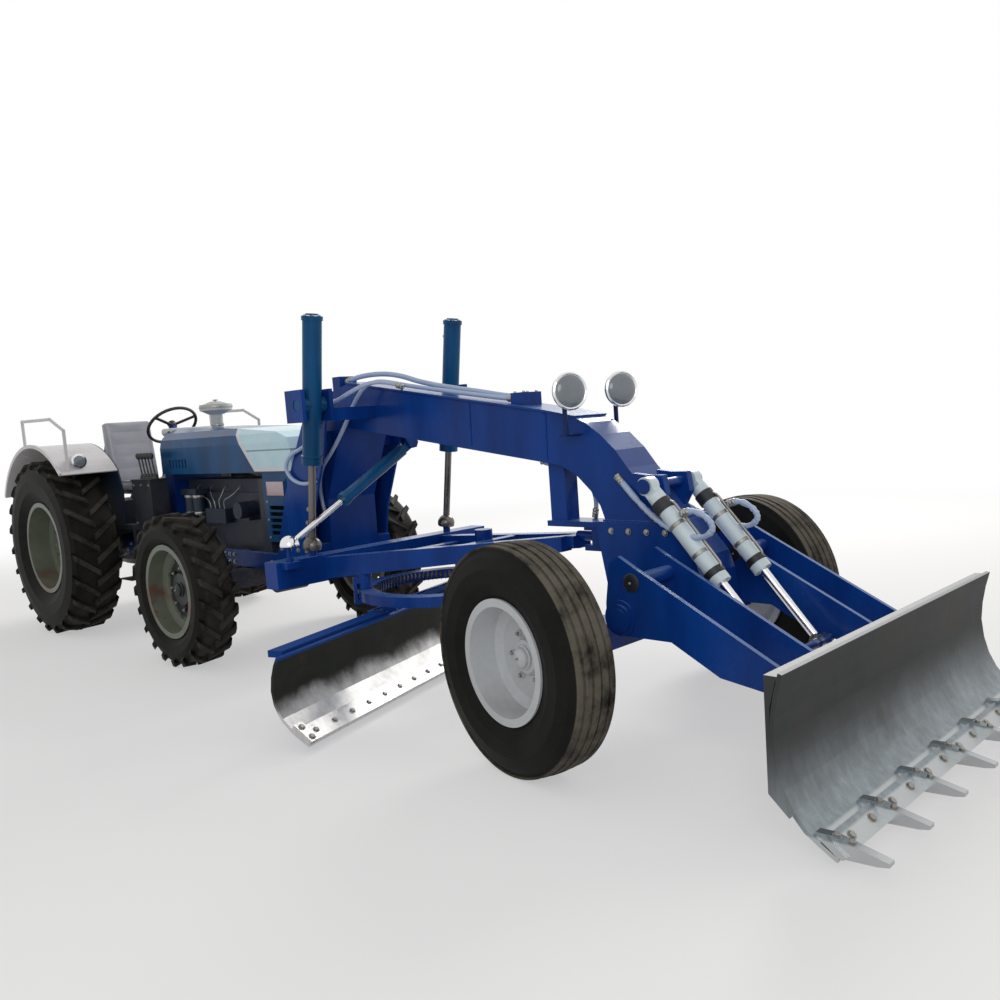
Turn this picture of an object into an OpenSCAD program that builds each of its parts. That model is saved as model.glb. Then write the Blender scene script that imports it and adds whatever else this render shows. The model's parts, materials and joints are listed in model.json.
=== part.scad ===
// Motor grader: four-wheel-drive farm tractor with a fixed grader frame ahead of it.
// Six wheels, box gooseneck, drawbar with circle and moldboard, front dozer blade with tines.
// Millimetres, +X forward, +Y left, +Z up, ground at Z = 0.
// Stations along X are counted from the tractor's rear axle and moved to mid length at the end.

/* [Machine] */
// Rear axle to tractor front axle
wheelbase = 2185; // [2170:5:2200]
// Rear axle to grader front axle
grader_axle_x = 5554; // [5540:2:5570]
// Steering angle of the grader wheels as parked, to the right is negative
steer_deg = -10; // [-14:1:0]

/* [Rear wheels] */
// Outside diameter of the rear tyres over the lugs
rear_od = 1466; // [1440:2:1490]
// Width of the rear tyres
rear_w = 406; // [390:2:420]
// Rear track between tyre centres
rear_track = 1546; // [1530:2:1580]
// Diameter over the rear rim flange
rear_flange_d = 762; // [750:2:770]

/* [Tractor front wheels] */
// Outside diameter of the tractor front tyres over the lugs
front_od = 1062; // [1050:2:1074]
// Width of the tractor front tyres
front_w = 282; // [270:2:290]
// Track of the tractor front axle
front_track = 1612; // [1590:2:1640]
// Diameter over the front rim flange
front_flange_d = 647; // [636:1:654]

/* [Grader wheels] */
// Outside diameter of the ribbed grader tyres
grader_od = 1018; // [1008:2:1026]
// Width of the ribbed grader tyres
grader_w = 252; // [240:2:256]
// Track of the grader axle
grader_track = 1863; // [1850:2:1880]
// Diameter over the grader rim flange
grader_flange_d = 555; // [546:1:560]

/* [Gooseneck beam] */
// Width of the box beam
beam_w = 240; // [220:2:260]
// Width of the front box under the gooseneck
box_w = 300; // [290:2:310]

/* [Moldboard] */
// Length of the moldboard
mold_len = 2900; // [2840:10:2940]
// Height of the moldboard above its cutting edge
mold_h = 415; // [405:5:425]
// Plate thickness of the moldboard
mold_t = 16; // [14:1:20]
// Angle of the moldboard as parked, right end forward is positive
mold_deg = 18; // [14:1:20]
// Outside radius of the circle
circle_r = 530; // [520:2:540]

/* [Front blade] */
// Width of the front dozer blade
blade_w = 2040; // [1980:10:2080]
// Height of the front dozer blade
blade_h = 585; // [570:5:595]
// Plate thickness of the front blade
blade_t = 16; // [14:1:20]
// Number of tines along the cutting edge
tine_count = 7; // [5:1:9]
// Outer tine's centre from the blade's end
tine_inset = 30; // [22:1:60]

/* [Cylinders] */
// Outside diameter of the blade lift barrels
lift_d = 114; // [108:2:120]
// Rod diameter of the blade lift cylinders
lift_rod_d = 45; // [40:1:50]
// Outside diameter of the front blade barrels
dozer_d = 84; // [78:2:90]
// Rod diameter of the front blade cylinders
dozer_rod_d = 42; // [38:1:46]

/* [Hidden] */
$fn = 48;
fit = 0.3;
gap = 6;
tip_x = 7150;
tail_x = -860;
mid_x = (tip_x + tail_x) / 2;

// Columns of the wheel table: outside diameter, width, flange diameter, lug height, disc place, hub radius
OD = 0; WD = 1; FL = 2; LUG = 3; DISC = 4; HUB = 5;
rear_tab = [rear_od, rear_w, rear_flange_d, 38, -40, 140];
front_tab = [front_od, front_w, front_flange_d, 30, -20, 118];
grader_tab = [grader_od, grader_w, grader_flange_d, 10, -62, 80];

rear_y = rear_track / 2;
front_y = front_track / 2;
grader_y = grader_track / 2;
rear_z = rear_od / 2;
front_z = front_od / 2;
grader_z = grader_od / 2;
king_y = 752;

// Lift cylinders of the moldboard: trunnion, lower eye, and length data
lift_y = 550;
lift_top = [3560, 1700];
lift_eye = [3420, 850];
lift_len = norm(lift_top - lift_eye);
lift_ang = atan2(lift_top[0] - lift_eye[0], lift_top[1] - lift_eye[1]);

// Centre shift cylinder in the plane across the machine: upper eye and lower eye as [y, z]
shift_x = 3520;
shift_top = [205, 1425];
shift_eye = [-770, 890];
shift_len = norm(shift_top - shift_eye);
shift_ang = atan2(shift_top[0] - shift_eye[0], shift_top[1] - shift_eye[1]);

// Drawbar: ball ahead, circle centre, cross beam station
ball = [5240, 900];
circle_x = 4000;
cross_x = 3420;
cross_half = 850;
cross_z = [630, 790];
ring_z = [520, 580];

// Front blade arms: pivot, cylinder eyes, arm planes
arm_pivot = [5800, 640];
dozer_top = [5700, 1180];
dozer_eye = [6350, 430];
dozer_y = 180;
dozer_len = norm(dozer_top - dozer_eye);
dozer_ang = atan2(dozer_top[0] - dozer_eye[0], dozer_top[1] - dozer_eye[1]);
arm_in = 282;
arm_out = 556;
arm_t = 24;
blade_x = 6790;
edge_z = 56;

// Hoses of the grader as [x, y, z] route points; each is one tube, rounded at its points.
// Columns: radius, reference direction that no part of the route points along, route
hose_tab = [
  [16, [0, 1, 0.3], [[4737, 24, 1650], [4600, 12, 1668], [4420, 0, 1704], [4180, 0, 1742], [3912, 0, 1796], [3740, 0, 1848],
    [3570, -10, 1876], [3400, -36, 1876], [3310, -60, 1860], [3254, -66, 1846]]],
  [13, [0, 1, 0.3], [[4737.4, -36, 1640], [4480, -60, 1680], [3920, -66, 1770], [3760, -90, 1806], [3690, -150, 1824],
    [3620, -204, 1800], [3500, -214, 1684], [3380, -214, 1540], [3216, -214, 1390], [3090, -214, 1292], [3052, -212, 1160],
    [3078, -203.5, 990]]],
  [13, [0, 1, 0.3], [[3880, -112, 1770], [3790, -122, 1804], [3720, -230, 1818], [3620, -322, 1760], [3480, -334, 1708],
    [3290, -334, 1730], [3110, -320, 1746], [3106, -306, 1641.8]]],
  [13, [0, 1, 0.3], [[3170, -327.6, 1480], [3075, -334, 1440], [2924, -334, 1400], [2850, -334, 1316], [2920, -334, 1236],
    [3060, -334, 1202], [3190, -327.6, 1228]]],
  [12, [0, 1, 0.3], [[4790, 80, 1323.8], [4800, 84, 1276], [4920, 96, 1272], [5030, 96, 1240], [5130, 96, 1160], [5168, 84, 1070],
    [5168, 60, 988.4]]]
];

module at_frame() translate([-mid_x, 0, 0]) children();
module box(x, y, z) translate([x[0], y[0], z[0]]) cube([x[1] - x[0], y[1] - y[0], z[1] - z[0]]);
// Plate in the XZ plane, drawn as [x, z] points, between two Y values
module side_plate(pts, y) translate([0, y[1], 0]) rotate([90, 0, 0]) linear_extrude(y[1] - y[0]) polygon(pts);
module side_disc(c, r, y) translate([c[0], y[1], c[1]]) rotate([90, 0, 0]) cylinder(r = r, h = y[1] - y[0]);
module along_y(x, z, r, y) translate([x, y[0], z]) rotate([-90, 0, 0]) cylinder(r = r, h = y[1] - y[0]);
module both() { children(); mirror([0, 1, 0]) children(); }
// Wheel frame: local +Z points outboard
module on_left(x, y, z) translate([x, y, z]) rotate([-90, 0, 0]) children();
module on_right(x, y, z) translate([x, -y, z]) rotate([90, 0, 0]) children();

// Wheels
function seat_r(t) = t[FL] / 2 - 24;
module tyre_body(t, ribs) {
  r0 = seat_r(t);
  ro = t[OD] / 2;
  w = t[WD] / 2;
  rc = ro - t[LUG];
  bead = w * 0.72;
  rotate_extrude($fn = 64) polygon(concat(
    [[r0, -bead], [r0 + 26, -bead - 2], [r0 + (rc - r0) * 0.35, -w + 6], [r0 + (rc - r0) * 0.62, -w],
     [rc - 40, -w + 14], [rc - 8, -w + 34]],
    ribs ? rib_line(rc, ro, w) : [[rc, -w * 0.6], [rc, w * 0.6]],
    [[rc - 8, w - 34], [rc - 40, w - 14], [r0 + (rc - r0) * 0.62, w],
     [r0 + (rc - r0) * 0.35, w - 6], [r0 + 26, bead + 2], [r0, bead]]));
}
// One tread bar: a hexahedron with a step, from just past the crown's middle out over the shoulder.
// Columns of a station: part of the sweep, place along the width at top and foot, top radius, foot radius
function bar_stations(t) = let(ro = t[OD] / 2, w = t[WD] / 2, rc = ro - t[LUG])
  [[0, -0.04 * w, -0.04 * w, ro, rc - 14], [0.86, 0.86 * w, 0.86 * w, ro - 9, rc - 42], [1, w - 1, w - 22, ro - 52, rc - 60]];
function bar_points(t, sweep, lead) = let(rt = t[OD] / 2) [for (p = bar_stations(t)) let(
  a = -lead * sweep * p[0], top = 21 / rt * 57.3, foot = 30 / rt * 57.3)
  each [[p[3] * cos(a - top), p[3] * sin(a - top), p[1]], [p[3] * cos(a + top), p[3] * sin(a + top), p[1]],
        [p[4] * cos(a + foot), p[4] * sin(a + foot), p[2]], [p[4] * cos(a - foot), p[4] * sin(a - foot), p[2]]]];
bar_faces = concat([[0, 1, 2, 3], [11, 10, 9, 8]],
  [for (k = [0, 4], i = [0:3]) let(j = (i + 1) % 4) [k + j, k + i, k + i + 4, k + j + 4]]);
module tread_bars(t, count, sweep, lead) for (i = [0:count - 1]) {
  rotate([0, 0, i * 360 / count]) polyhedron(bar_points(t, sweep, lead), bar_faces);
  rotate([0, 0, (i + 0.5) * 360 / count]) mirror([0, 0, 1]) polyhedron(bar_points(t, sweep, lead), bar_faces);
}
module rear_tyre(lead) { tyre_body(rear_tab, false); tread_bars(rear_tab, 23, 13, lead); }
module front_tyre(lead) { tyre_body(front_tab, false); tread_bars(front_tab, 21, 13.5, lead); }
// Five ribs parted by four grooves
function rib_line(rc, ro, w) = let(half = w - 26, n = 5, groove = 13, rib = (2 * half - (n - 1) * groove) / n)
  [for (i = [0:n - 1]) let(a = -half + i * (rib + groove))
    each [[i == 0 ? ro - 8 : rc, a], [ro - abs(i - 2) * 3, a + (i == 0 ? 8 : 0)],
          [ro - abs(i - 2) * 3, a + rib - (i == n - 1 ? 8 : 0)], [i == n - 1 ? ro - 8 : rc, a + rib]]];

module wheel_body(t, bolts, ring_r, holes) {
  r0 = seat_r(t);
  fl = t[FL] / 2;
  bead = t[WD] / 2 * 0.72;
  d = t[DISC];
  difference() {
    rotate_extrude($fn = 64) polygon([
      [r0 - 12, -bead - 14], [fl, -bead - 14], [fl, -bead - 3], [r0, -bead - 3], [r0, bead + 3],
      [fl, bead + 3], [fl, bead + 14], [r0 - 12, bead + 14], [r0 - 16, d + 34], [r0 - 60, d + 14],
      [t[HUB] + 10, d + 14], [t[HUB] - 6, d + 40], [34, d + 46], [0.01, d + 46], [0.01, d - 20],
      [t[HUB] - 10, d - 20], [t[HUB] + 6, d], [r0 - 66, d], [r0 - 30, d + 18], [r0 - 28, -bead + 30]]);
    if (holes > 0) for (i = [0:holes - 1]) rotate([0, 0, (i + 0.5) * 360 / holes])
      translate([(ring_r + r0 - 30) / 2 + 8, 0, d - 10]) cylinder(r = 22, h = 60, $fn = 24);
  }
  for (i = [0:bolts - 1]) rotate([0, 0, i * 360 / bolts])
    translate([ring_r, 0, d + 13]) cylinder(r = 15, h = 17, $fn = 6);
}

module wheel_rear_left() color("gainsboro") at_frame() on_left(0, rear_y, rear_z) wheel_body(rear_tab, 8, 170, 8);
module tyre_rear_left() color("black") at_frame() on_left(0, rear_y, rear_z) rear_tyre(1);
module wheel_rear_right() color("gainsboro") at_frame() on_right(0, rear_y, rear_z) wheel_body(rear_tab, 8, 170, 8);
module tyre_rear_right() color("black") at_frame() on_right(0, rear_y, rear_z) rear_tyre(-1);
module wheel_front_left() color("gainsboro") at_frame()
  on_left(wheelbase, front_y, front_z) wheel_body(front_tab, 8, 146, 8);
module tyre_front_left() color("black") at_frame()
  on_left(wheelbase, front_y, front_z) front_tyre(1);
module wheel_front_right() color("gainsboro") at_frame()
  on_right(wheelbase, front_y, front_z) wheel_body(front_tab, 8, 146, 8);
module tyre_front_right() color("black") at_frame()
  on_right(wheelbase, front_y, front_z) front_tyre(-1);

// Turns a grader wheel assembly about its kingpin
module steered(side) translate([grader_axle_x, side * king_y, 0]) rotate([0, 0, steer_deg])
  translate([-grader_axle_x, -side * king_y, 0]) children();
module wheel_grader_left() color("white") at_frame() steered(1)
  on_left(grader_axle_x, grader_y, grader_z) wheel_body(grader_tab, 6, 108, 0);
module tyre_grader_left() color("black") at_frame() steered(1)
  on_left(grader_axle_x, grader_y, grader_z) tyre_body(grader_tab, true);
module wheel_grader_right() color("white") at_frame() steered(-1)
  on_right(grader_axle_x, grader_y, grader_z) wheel_body(grader_tab, 6, 108, 0);
module tyre_grader_right() color("black") at_frame() steered(-1)
  on_right(grader_axle_x, grader_y, grader_z) tyre_body(grader_tab, true);

// Steering knuckle: fork round the axle end, stub spindle and steering arm
module knuckle(side) {
  z = grader_z;
  s = side;
  translate([grader_axle_x, s * king_y, 0]) {
    difference() {
      union() {
        translate([0, 0, z - 96]) cylinder(r = 46, h = 30);
        translate([0, 0, z + 66]) cylinder(r = 46, h = 30);
        translate([-46, s > 0 ? 0 : -92, z - 96]) cube([92, 92, 30]);
        translate([-46, s > 0 ? 0 : -92, z + 66]) cube([92, 92, 30]);
        translate([-46, s > 0 ? 56 : -92, z - 96]) cube([92, 36, 192]);
      }
      translate([0, 0, z - 110]) cylinder(r = 22, h = 220);
    }
    translate([0, s * 60, z]) rotate([-90 * s, 0, 0]) cylinder(r = 34, h = grader_y + grader_tab[DISC] - 80.3 - king_y);
    translate([0, s * 92, z]) rotate([-90 * s, 0, 0]) translate([0, 0, -20]) cylinder(r = 60, h = 22);
    translate([-210, s > 0 ? -22 : -22, z - 92]) cube([170, 44, 22]);
    translate([-210, 0, z - 92]) cylinder(r = 32, h = 22);
  }
}
module knuckle_left() color("royalblue") at_frame() steered(1) knuckle(1);
module knuckle_right() color("royalblue") at_frame() steered(-1) knuckle(-1);

// Through rod of the steering cylinder; its ends lie just above the steering arms
rod_z = grader_z - 92 + 22 + gap + 24;
rod_x = grader_axle_x - 210 * cos(steer_deg);
rod_shift = -210 * sin(steer_deg);
module steering_rod() color("silver") at_frame() translate([0, rod_shift, 0]) {
  along_y(rod_x, rod_z, 19, [-king_y, king_y]);
  both() translate([rod_x, king_y, rod_z - 24]) cylinder(r = 30, h = 48);
}
// Grader axle beam and kingpins
axle_x0 = grader_axle_x - 70;
axle_x1 = grader_axle_x + 70;
module grader_axle() color("royalblue") at_frame() {
  z = grader_z;
  // Steering cylinder behind the beam, its rod runs right through
  difference() {
    union() {
      along_y(rod_x, rod_z, 42, [-210, 210]);
      both() side_plate([[rod_x - 30, rod_z - 36], [axle_x0 + 1, rod_z - 40], [axle_x0 + 1, rod_z + 60],
        [rod_x - 20, rod_z + 44]], [156, 186]);
    }
    along_y(rod_x, rod_z, 19.5, [-240, 240]);
  }
  box([axle_x0, axle_x1], [-690, 690], [z - 70, z + 60]);
  both() {
    translate([grader_axle_x, king_y, z - 60]) cylinder(r = 44, h = 120);
    box([grader_axle_x - 44, grader_axle_x + 44], [690, king_y], [z - 60, z + 60]);
    translate([grader_axle_x, king_y, z - 104]) cylinder(r = 21.7, h = 208);
    translate([grader_axle_x, king_y, z - 108]) cylinder(r = 34, h = 6);
    translate([grader_axle_x, king_y, z + 102]) cylinder(r = 34, h = 6);
  }
}

// Tractor
module chassis() color("dimgray") at_frame() {
  z = rear_z;
  box([-170, 330], [-190, 190], [480, 960]);
  box([330, 1050], [-150, 150], [530, 860]);
  box([-170, 240], [-140, 140], [960, 1060]);
  along_y(0, z, 105, [-590, 590]);
  both() {
    along_y(0, z, 160, [190, 300]);
    along_y(0, z, 150, [500, 600]);
    along_y(0, z, 60, [600, rear_y + rear_tab[DISC] - 20.3]);
  }
  translate([-290, 0, 620]) rotate([0, 90, 0]) cylinder(r = 17.5, h = 130);
  translate([-190, 0, 620]) rotate([0, 90, 0]) cylinder(r = 70, h = 22);
}
module engine_block() color("slategray") at_frame() {
  box([1050, 2230], [-165, 165], [720, 1130]);
  box([1090, 2190], [-140, 140], [1130, 1230]);
  box([1100, 1990], [-150, 150], [604, 720]);
  // Exhaust manifold on the left, pump and filters on the right
  box([1200, 2050], [140, 205], [1132, 1196]);
  for (x = [1240, 1480, 1720, 1960]) translate([x, 190, 1000]) cylinder(r = 24, h = 140);
  box([1500, 1800], [-230, -165], [900, 1010]);
  for (x = [1250, 1380]) translate([x, -215, 960]) cylinder(r = 46, h = 165);
  box([1190, 1440], [-266, -165], [1120, 1160]);
  along_y(2110, 1010, 62, [-300, -165]);
  box([2070, 2150], [-235, -165], [930, 975]);
  translate([2230, 0, 1040]) rotate([0, 90, 0]) cylinder(r = 84, h = 46);
  translate([2275, 0, 1040]) rotate([0, 90, 0]) cylinder(r = 60, h = 31);
  for (i = [0:5]) translate([2284, 0, 1040]) rotate([i * 60, 0, 0]) translate([0, -26, 48]) cube([8, 52, 162]);
  along_y(1300, 880, 62, [165, 260]);
}
// Tube along a route: quadratic bends between the middles of its stretches, twelve rings of ten points
function lerp(a, b, t) = a + (b - a) * t;
function bend(a, b, c, k) = [for (i = [0:k - 1]) let(t = i / k) lerp(lerp(a, b, t), lerp(b, c, t), t)];
function rounded(p, k) = let(n = len(p)) concat([p[0]],
  [for (i = [1:n - 2]) each bend(i == 1 ? lerp(p[0], p[1], 0.5) : (p[i - 1] + p[i]) / 2, p[i],
    (p[i] + p[i + 1]) / 2, k)], [(p[n - 2] + p[n - 1]) / 2, p[n - 1]]);
function tangent(c, i) = let(d = c[min(i + 1, len(c) - 1)] - c[max(i - 1, 0)]) d / norm(d);
function hose_ring(c, i, r, ref) = let(t = tangent(c, i), u = cross(t, ref) / norm(cross(t, ref)), v = cross(u, t))
  [for (j = [0:9]) c[i] + r * (cos(j * 36) * u + sin(j * 36) * v)];
module tube(r, ref, route, k) {
  c = rounded(route, k);
  n = len(c);
  polyhedron([for (i = [0:n - 1]) each hose_ring(c, i, r, ref)], concat([[for (j = [0:9]) 9 - j]],
    [for (i = [0:n - 2], j = [0:9]) let(a = i * 10 + j, b = i * 10 + (j + 1) % 10) each [[a, b, b + 10], [a, b + 10, a + 10]]],
    [[for (j = [0:9]) (n - 1) * 10 + j]]));
}
module hoses() color("lavender") at_frame() for (h = hose_tab) tube(h[0], h[1], h[2], 2);
// Front support bracket under the engine, radiator and front axle share one casting look
support_z = front_z + 64;
module tractor_front_axle() color("dimgray") at_frame() {
  z = front_z;
  box([1995, 2700], [-160, 160], [support_z, 720]);
  box([2360, 2470], [-260, 260], [720, 1240]);
  box([2560, 2700], [-160, 160], [720, 800]);
  box([wheelbase - 62, wheelbase + 62], [-540, 540], [z - 64, support_z]);
  translate([wheelbase - 120, 0, z]) rotate([0, 90, 0]) cylinder(r = 60, h = 240);
  along_y(wheelbase, z - 50, 108, [-90, 150]);
  both() {
    along_y(wheelbase, z, 96, [540, 640]);
    along_y(wheelbase, z, 118, [640, 690]);
    along_y(wheelbase, z, 55, [690, front_y + front_tab[DISC] - 20.3]);
  }
}
hood_x = [985, 2880];
module hood_solid(i) intersection() {
  side_plate([[hood_x[0] + i - 1, 1285], [hood_x[1] - i, 1285], [hood_x[1] - i, 1440], [hood_x[1] - 40 - i, 1520 - i],
    [2700 - i, 1562 - i], [2100, 1604 - i], [1500, 1632 - i], [hood_x[0] + i - 1, 1640 - i]], [-400, 400]);
  translate([900, 0, 0]) rotate([90, 0, 90]) linear_extrude(2100) polygon([[-300 + i, 1285], [-300 + i, 1490],
    [-284 + i, 1555], [-236 + i, 1606 - i], [-150, 1640 - i], [150, 1640 - i], [236 - i, 1606 - i],
    [284 - i, 1555], [300 - i, 1490], [300 - i, 1285]]);
}
module hood() color("royalblue") at_frame() {
  difference() {
    hood_solid(0);
    translate([0, 0, -1]) hood_solid(14);
    for (i = [0:5]) box([1120 + i * 52, 1146 + i * 52], [-400, 400], [1330, 1400]);
  }
  // Grille shell in front of the radiator, slotted ahead and at both sides
  difference() {
    box([2480, 2900], [-290, 290], [800, 1300]);
    box([2490, 2888], [-276, 276], [812, 1340]);
    box([2400, 2500], [-276, 276], [812, 1340]);
    for (i = [0:8]) box([2850, 2950], [-220, 220], [850 + i * 44, 878 + i * 44]);
    for (i = [0:4]) box([2540, 2860], [-320, 320], [850 + i * 44, 878 + i * 44]);
  }
  // Lamp set in each side of the grille shell
  both() {
    box([2530, 2780], [289, 296], [1108, 1240]);
    box([2545, 2765], [295, 304], [1122, 1226]);
  }
}
module fender_arc(r, t, y, a0, a1) translate([0, y[1], rear_z]) rotate([90, 0, 0])
  rotate([0, 0, a0]) rotate_extrude(angle = a1 - a0, $fn = 64) translate([r, 0]) square([t, y[1] - y[0]]);
function sector(r, a0, a1) = [for (i = [0:12]) let(a = a0 + (a1 - a0) * i / 12) [r * cos(a), rear_z + r * sin(a)]];
fender_r = rear_od / 2 + 105;
function on_fender(x) = rear_z + sqrt(fender_r * fender_r - x * x);
// Grab rail of a fender as [x, z] points, and its lamp's place
rail_pts = [[-330, on_fender(-330) - 3], [-330, rear_z + fender_r + 229], [300, rear_z + fender_r + 219],
  [560, rear_z + fender_r + 119], [560, on_fender(560) - 4]];
fender_lamp = [430, 775, on_fender(490) + 27];
module fenders() color("whitesmoke") at_frame() both() {
  fender_arc(fender_r, 10, [481, 950], 46, 150);
  // Inner wall, its front edge drops to the platform
  side_plate(concat(sector(fender_r + 2, 46, 150), sector(470, 150, 22), [[600, 873], [645, 1180]]), [481, 491]);
  fender_arc(fender_r, 28, [938, 954], 46, 150);
  // Bent grab rail and round lamp
  for (i = [0:3]) rail([rail_pts[i][0], 870, rail_pts[i][1]], [rail_pts[i + 1][0], 870, rail_pts[i + 1][1]], 13);
  for (i = [1:3]) translate([rail_pts[i][0], 870, rail_pts[i][1]]) sphere(r = 14.5);
  translate(fender_lamp) rotate([0, 90, 0]) cylinder(r = 50, h = 100);
  translate(fender_lamp + [99, 0, 0]) rotate([0, 90, 0]) cylinder(r = 56, h = 22);
}
// Round bar between two points
module rail(p, q, r) translate(p) rotate([0, acos((q[2] - p[2]) / norm(q - p)), atan2(q[1] - p[1], q[0] - p[0])])
  cylinder(r = r, h = norm(q - p));
module platform() color("dimgray") at_frame() {
  both() {
    box([320, 1000], [191, 476], [860, 872]);
    box([320, 1000], [475, 481], [850, 890]);
    box([770, 970], [500, 640], [470, 482]);
    box([770, 970], [500, 640], [650, 662]);
    box([770, 790], [481, 501], [470, 874]);
    box([950, 970], [481, 501], [470, 874]);
    box([380, 420], [150, 475], [800, 862]);
    box([900, 940], [150, 475], [800, 862]);
  }
  box([330, 1000], [-200, 200], [860, 872]);
  box([-150, 330], [-480.7, 480.7], [1060, 1072]);
  box([330, 340], [-480.7, 480.7], [860, 1072]);
  // Valve chest of the grader with its row of levers, on the right side of the platform
  box([790, 1120], [-474, -330], [872, 1250]);
  box([775, 1135], [-478, -324], [1250, 1262]);
  for (i = [0:4]) translate([840 + i * 58, -400, 1262]) {
    cylinder(r = 15, h = 26);
    rotate([0, -14, 0]) cylinder(r = 6.5, h = 190);
    rotate([0, -14, 0]) translate([0, 0, 190]) sphere(r = 17);
  }
}
module seat() color("black") at_frame() {
  box([-170, 250], [-230, 230], [1130, 1230]);
  side_plate([[-290, 1180], [-169, 1150], [-169, 1240], [-250, 1770], [-330, 1760]], [-220, 220]);
  box([-80, 160], [-120, 120], [1072, 1131]);
}
module console() color("royalblue") at_frame() {
  side_plate([[800, 872], [983.7, 872], [983.7, 1630], [900, 1600], [850, 1400]], [-210, 210]);
  translate([862, 0, 1420]) rotate([0, -42, 0]) cylinder(r = 26, h = 330);
}
module steering_wheel() color("black") at_frame() translate([862, 0, 1420]) rotate([0, -42, 0]) {
  translate([0, 0, 330.3]) cylinder(r = 34, h = 40);
  translate([0, 0, 352]) rotate_extrude($fn = 64) translate([205, 0]) circle(r = 13);
  for (i = [0:2]) rotate([0, 0, i * 120 + 60]) translate([28, -11, 345]) cube([170, 22, 12]);
}
module precleaner() color("silver") at_frame() translate([1400, 0, 1634.6]) {
  cylinder(r = 45, h = 110);
  translate([0, 0, 100]) cylinder(r1 = 60, r2 = 120, h = 30);
  translate([0, 0, 130]) cylinder(r = 125, h = 46);
  translate([0, 0, 176]) cylinder(r1 = 105, r2 = 40, h = 24);
}
module rear_hitch() color("dimgray") at_frame() {
  // Swinging drawbar with pin hole, lower links with ball eyes, rockshaft and lift rods
  difference() {
    union() {
      box([-700, 250], [-38, 38], [440, 480]);
      translate([-700, 0, 440]) cylinder(r = 50, h = 40);
    }
    translate([-700, 0, 400]) cylinder(r = 15, h = 120);
  }
  both() difference() {
    union() {
      side_plate([[-800, 505], [-150, 525], [-150, 595], [-800, 575]], [330, 360]);
      side_disc([-800, 540], 60, [322, 368]);
      side_disc([-150, 560], 42, [190, 360]);
    }
    side_disc([-800, 540], 14.35, [300, 400]);
  }
  both() {
    along_y(-130, 1000, 36, [140, 300]);
    side_plate([[-150, 970], [-110, 1030], [-430, 1080], [-450, 1040]], [270, 300]);
    translate([-430, 315, 1050]) rotate([0, 176, 0]) cylinder(r = 16, h = 490);
    along_y(-430, 1056, 20, [270, 335]);
    along_y(-396, 566, 14, [300, 345]);
  }
  side_plate([[-170, 820], [-170, 950], [-290, 900], [-290, 860]], [-60, 60]);
}

// Grader frame
mast_pts = [[2930, 560], [3100, 560], [3110, 1090], [3310, 1530], [3360, 1640], [3080, 1640], [2930, 1200]];
module subframe() color("royalblue") at_frame() {
  // Side rails along the tractor
  both() {
    box([170, 3060], [262, 312], [606, 716]);
    box([170, 290], [190, 263], [640, 716]);
    box([1940, 1990], [150, 263], [640, 700]);
    box([2560, 2620], [160, 263], [630, 700]);
  }
  // Mast ahead of the grille with cheek plates past its sides
  side_plate(mast_pts, [-190, 190]);
  both() side_plate([[2620, 710], [3040, 710], [3100, 1000], [3290, 1420], [3340, 1640], [3100, 1640],
    [2960, 1420], [2800, 1150]], [298, 314]);
  both() box([2940, 3098], [180, 300], [720, 800]);
  both() box([3120, 3212], [180, 300], [1420, 1540]);
  box([3040, 3098], [-312, 312], [560, 716]);
}
beam_pts = [[3080, 1640], [3360, 1640], [3322, 1548], [4900, 1312], [5105, 1282], [5215, 1226], [5300, 1150],
  [5356, 1075], [5384, 1000], [5350, 905], [5360, 840], [5454, 640], [5960, 640], [5944, 760], [5914, 840],
  [5600, 1196], [5540, 1262], [5470, 1350], [5380, 1430], [5290, 1492], [5226, 1520], [5025, 1560],
  [3520, 1800], [3330, 1830], [3140, 1790]];
module main_beam() color("royalblue") at_frame() {
  intersection() {
    side_plate(beam_pts, [-beam_w / 2, beam_w / 2]);
    box([3000, 5800], [-500, 500], [1000, 2000]);
  }
  // Ears and pin that carry the blade cylinders
  both() side_plate([[5500, 1100], [5560, 1236], [5655, 1225], [5740, 1225], [5755, 1130], [5700, 1040]], [80, 120]);
  along_y(dozer_top[0], dozer_top[1], 24, [-dozer_y - 44, dozer_y + 44]);
  both() along_y(dozer_top[0], dozer_top[1], 36, [dozer_y + 36, dozer_y + 44]);
  // Top flange plate and drawbar brace
  side_plate([[3330, 1830], [3520, 1800], [5025, 1560], [5226, 1520], [5229, 1530], [5027, 1571], [3522, 1811],
    [3332, 1841]], [-beam_w / 2 - 14, beam_w / 2 + 14]);
  side_plate([[4960, 985], [5070, 985], [5070, 1292], [4960, 1308]], [-50, 50]);
  // Yokes for the lift cylinders
  both() {
    box([lift_top[0] - 45, lift_top[0] + 45], [beam_w / 2 - 1, lift_y - 109], [1600, 1676]);
    difference() {
      for (y = [lift_y - 110, lift_y + 84]) box([lift_top[0] - 112, lift_top[0] + 60], [y, y + 26], [1600, 1790]);
      along_y(lift_top[0], lift_top[1], 34.4, [lift_y - 120, lift_y + 120]);
    }
    box([lift_top[0] - 112, lift_top[0] - 92], [lift_y - 85, lift_y + 85], [1600, 1790]);
  }
  // Port blocks of the hoses on top
  box([4740, 4830], [-75, 75], [1590, 1674]);
  box([3170, 3250], [-116, 20], [1770, 1884]);
  // Bracket and pin for the centre shift cylinder
  for (x = [shift_x - 37, shift_x + 25]) translate([x, 0, 0]) rotate([90, 0, 90]) linear_extrude(12)
    polygon([[60, 1560], [118, 1500], [165, 1412], [185, 1392], [228, 1396], [244, 1430], [225, 1460], [150, 1560]]);
  translate([shift_x - 37, shift_top[0], shift_top[1]]) rotate([0, 90, 0]) cylinder(r = 16, h = 74);
}
bolster_z = grader_z + 60.3;
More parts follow.
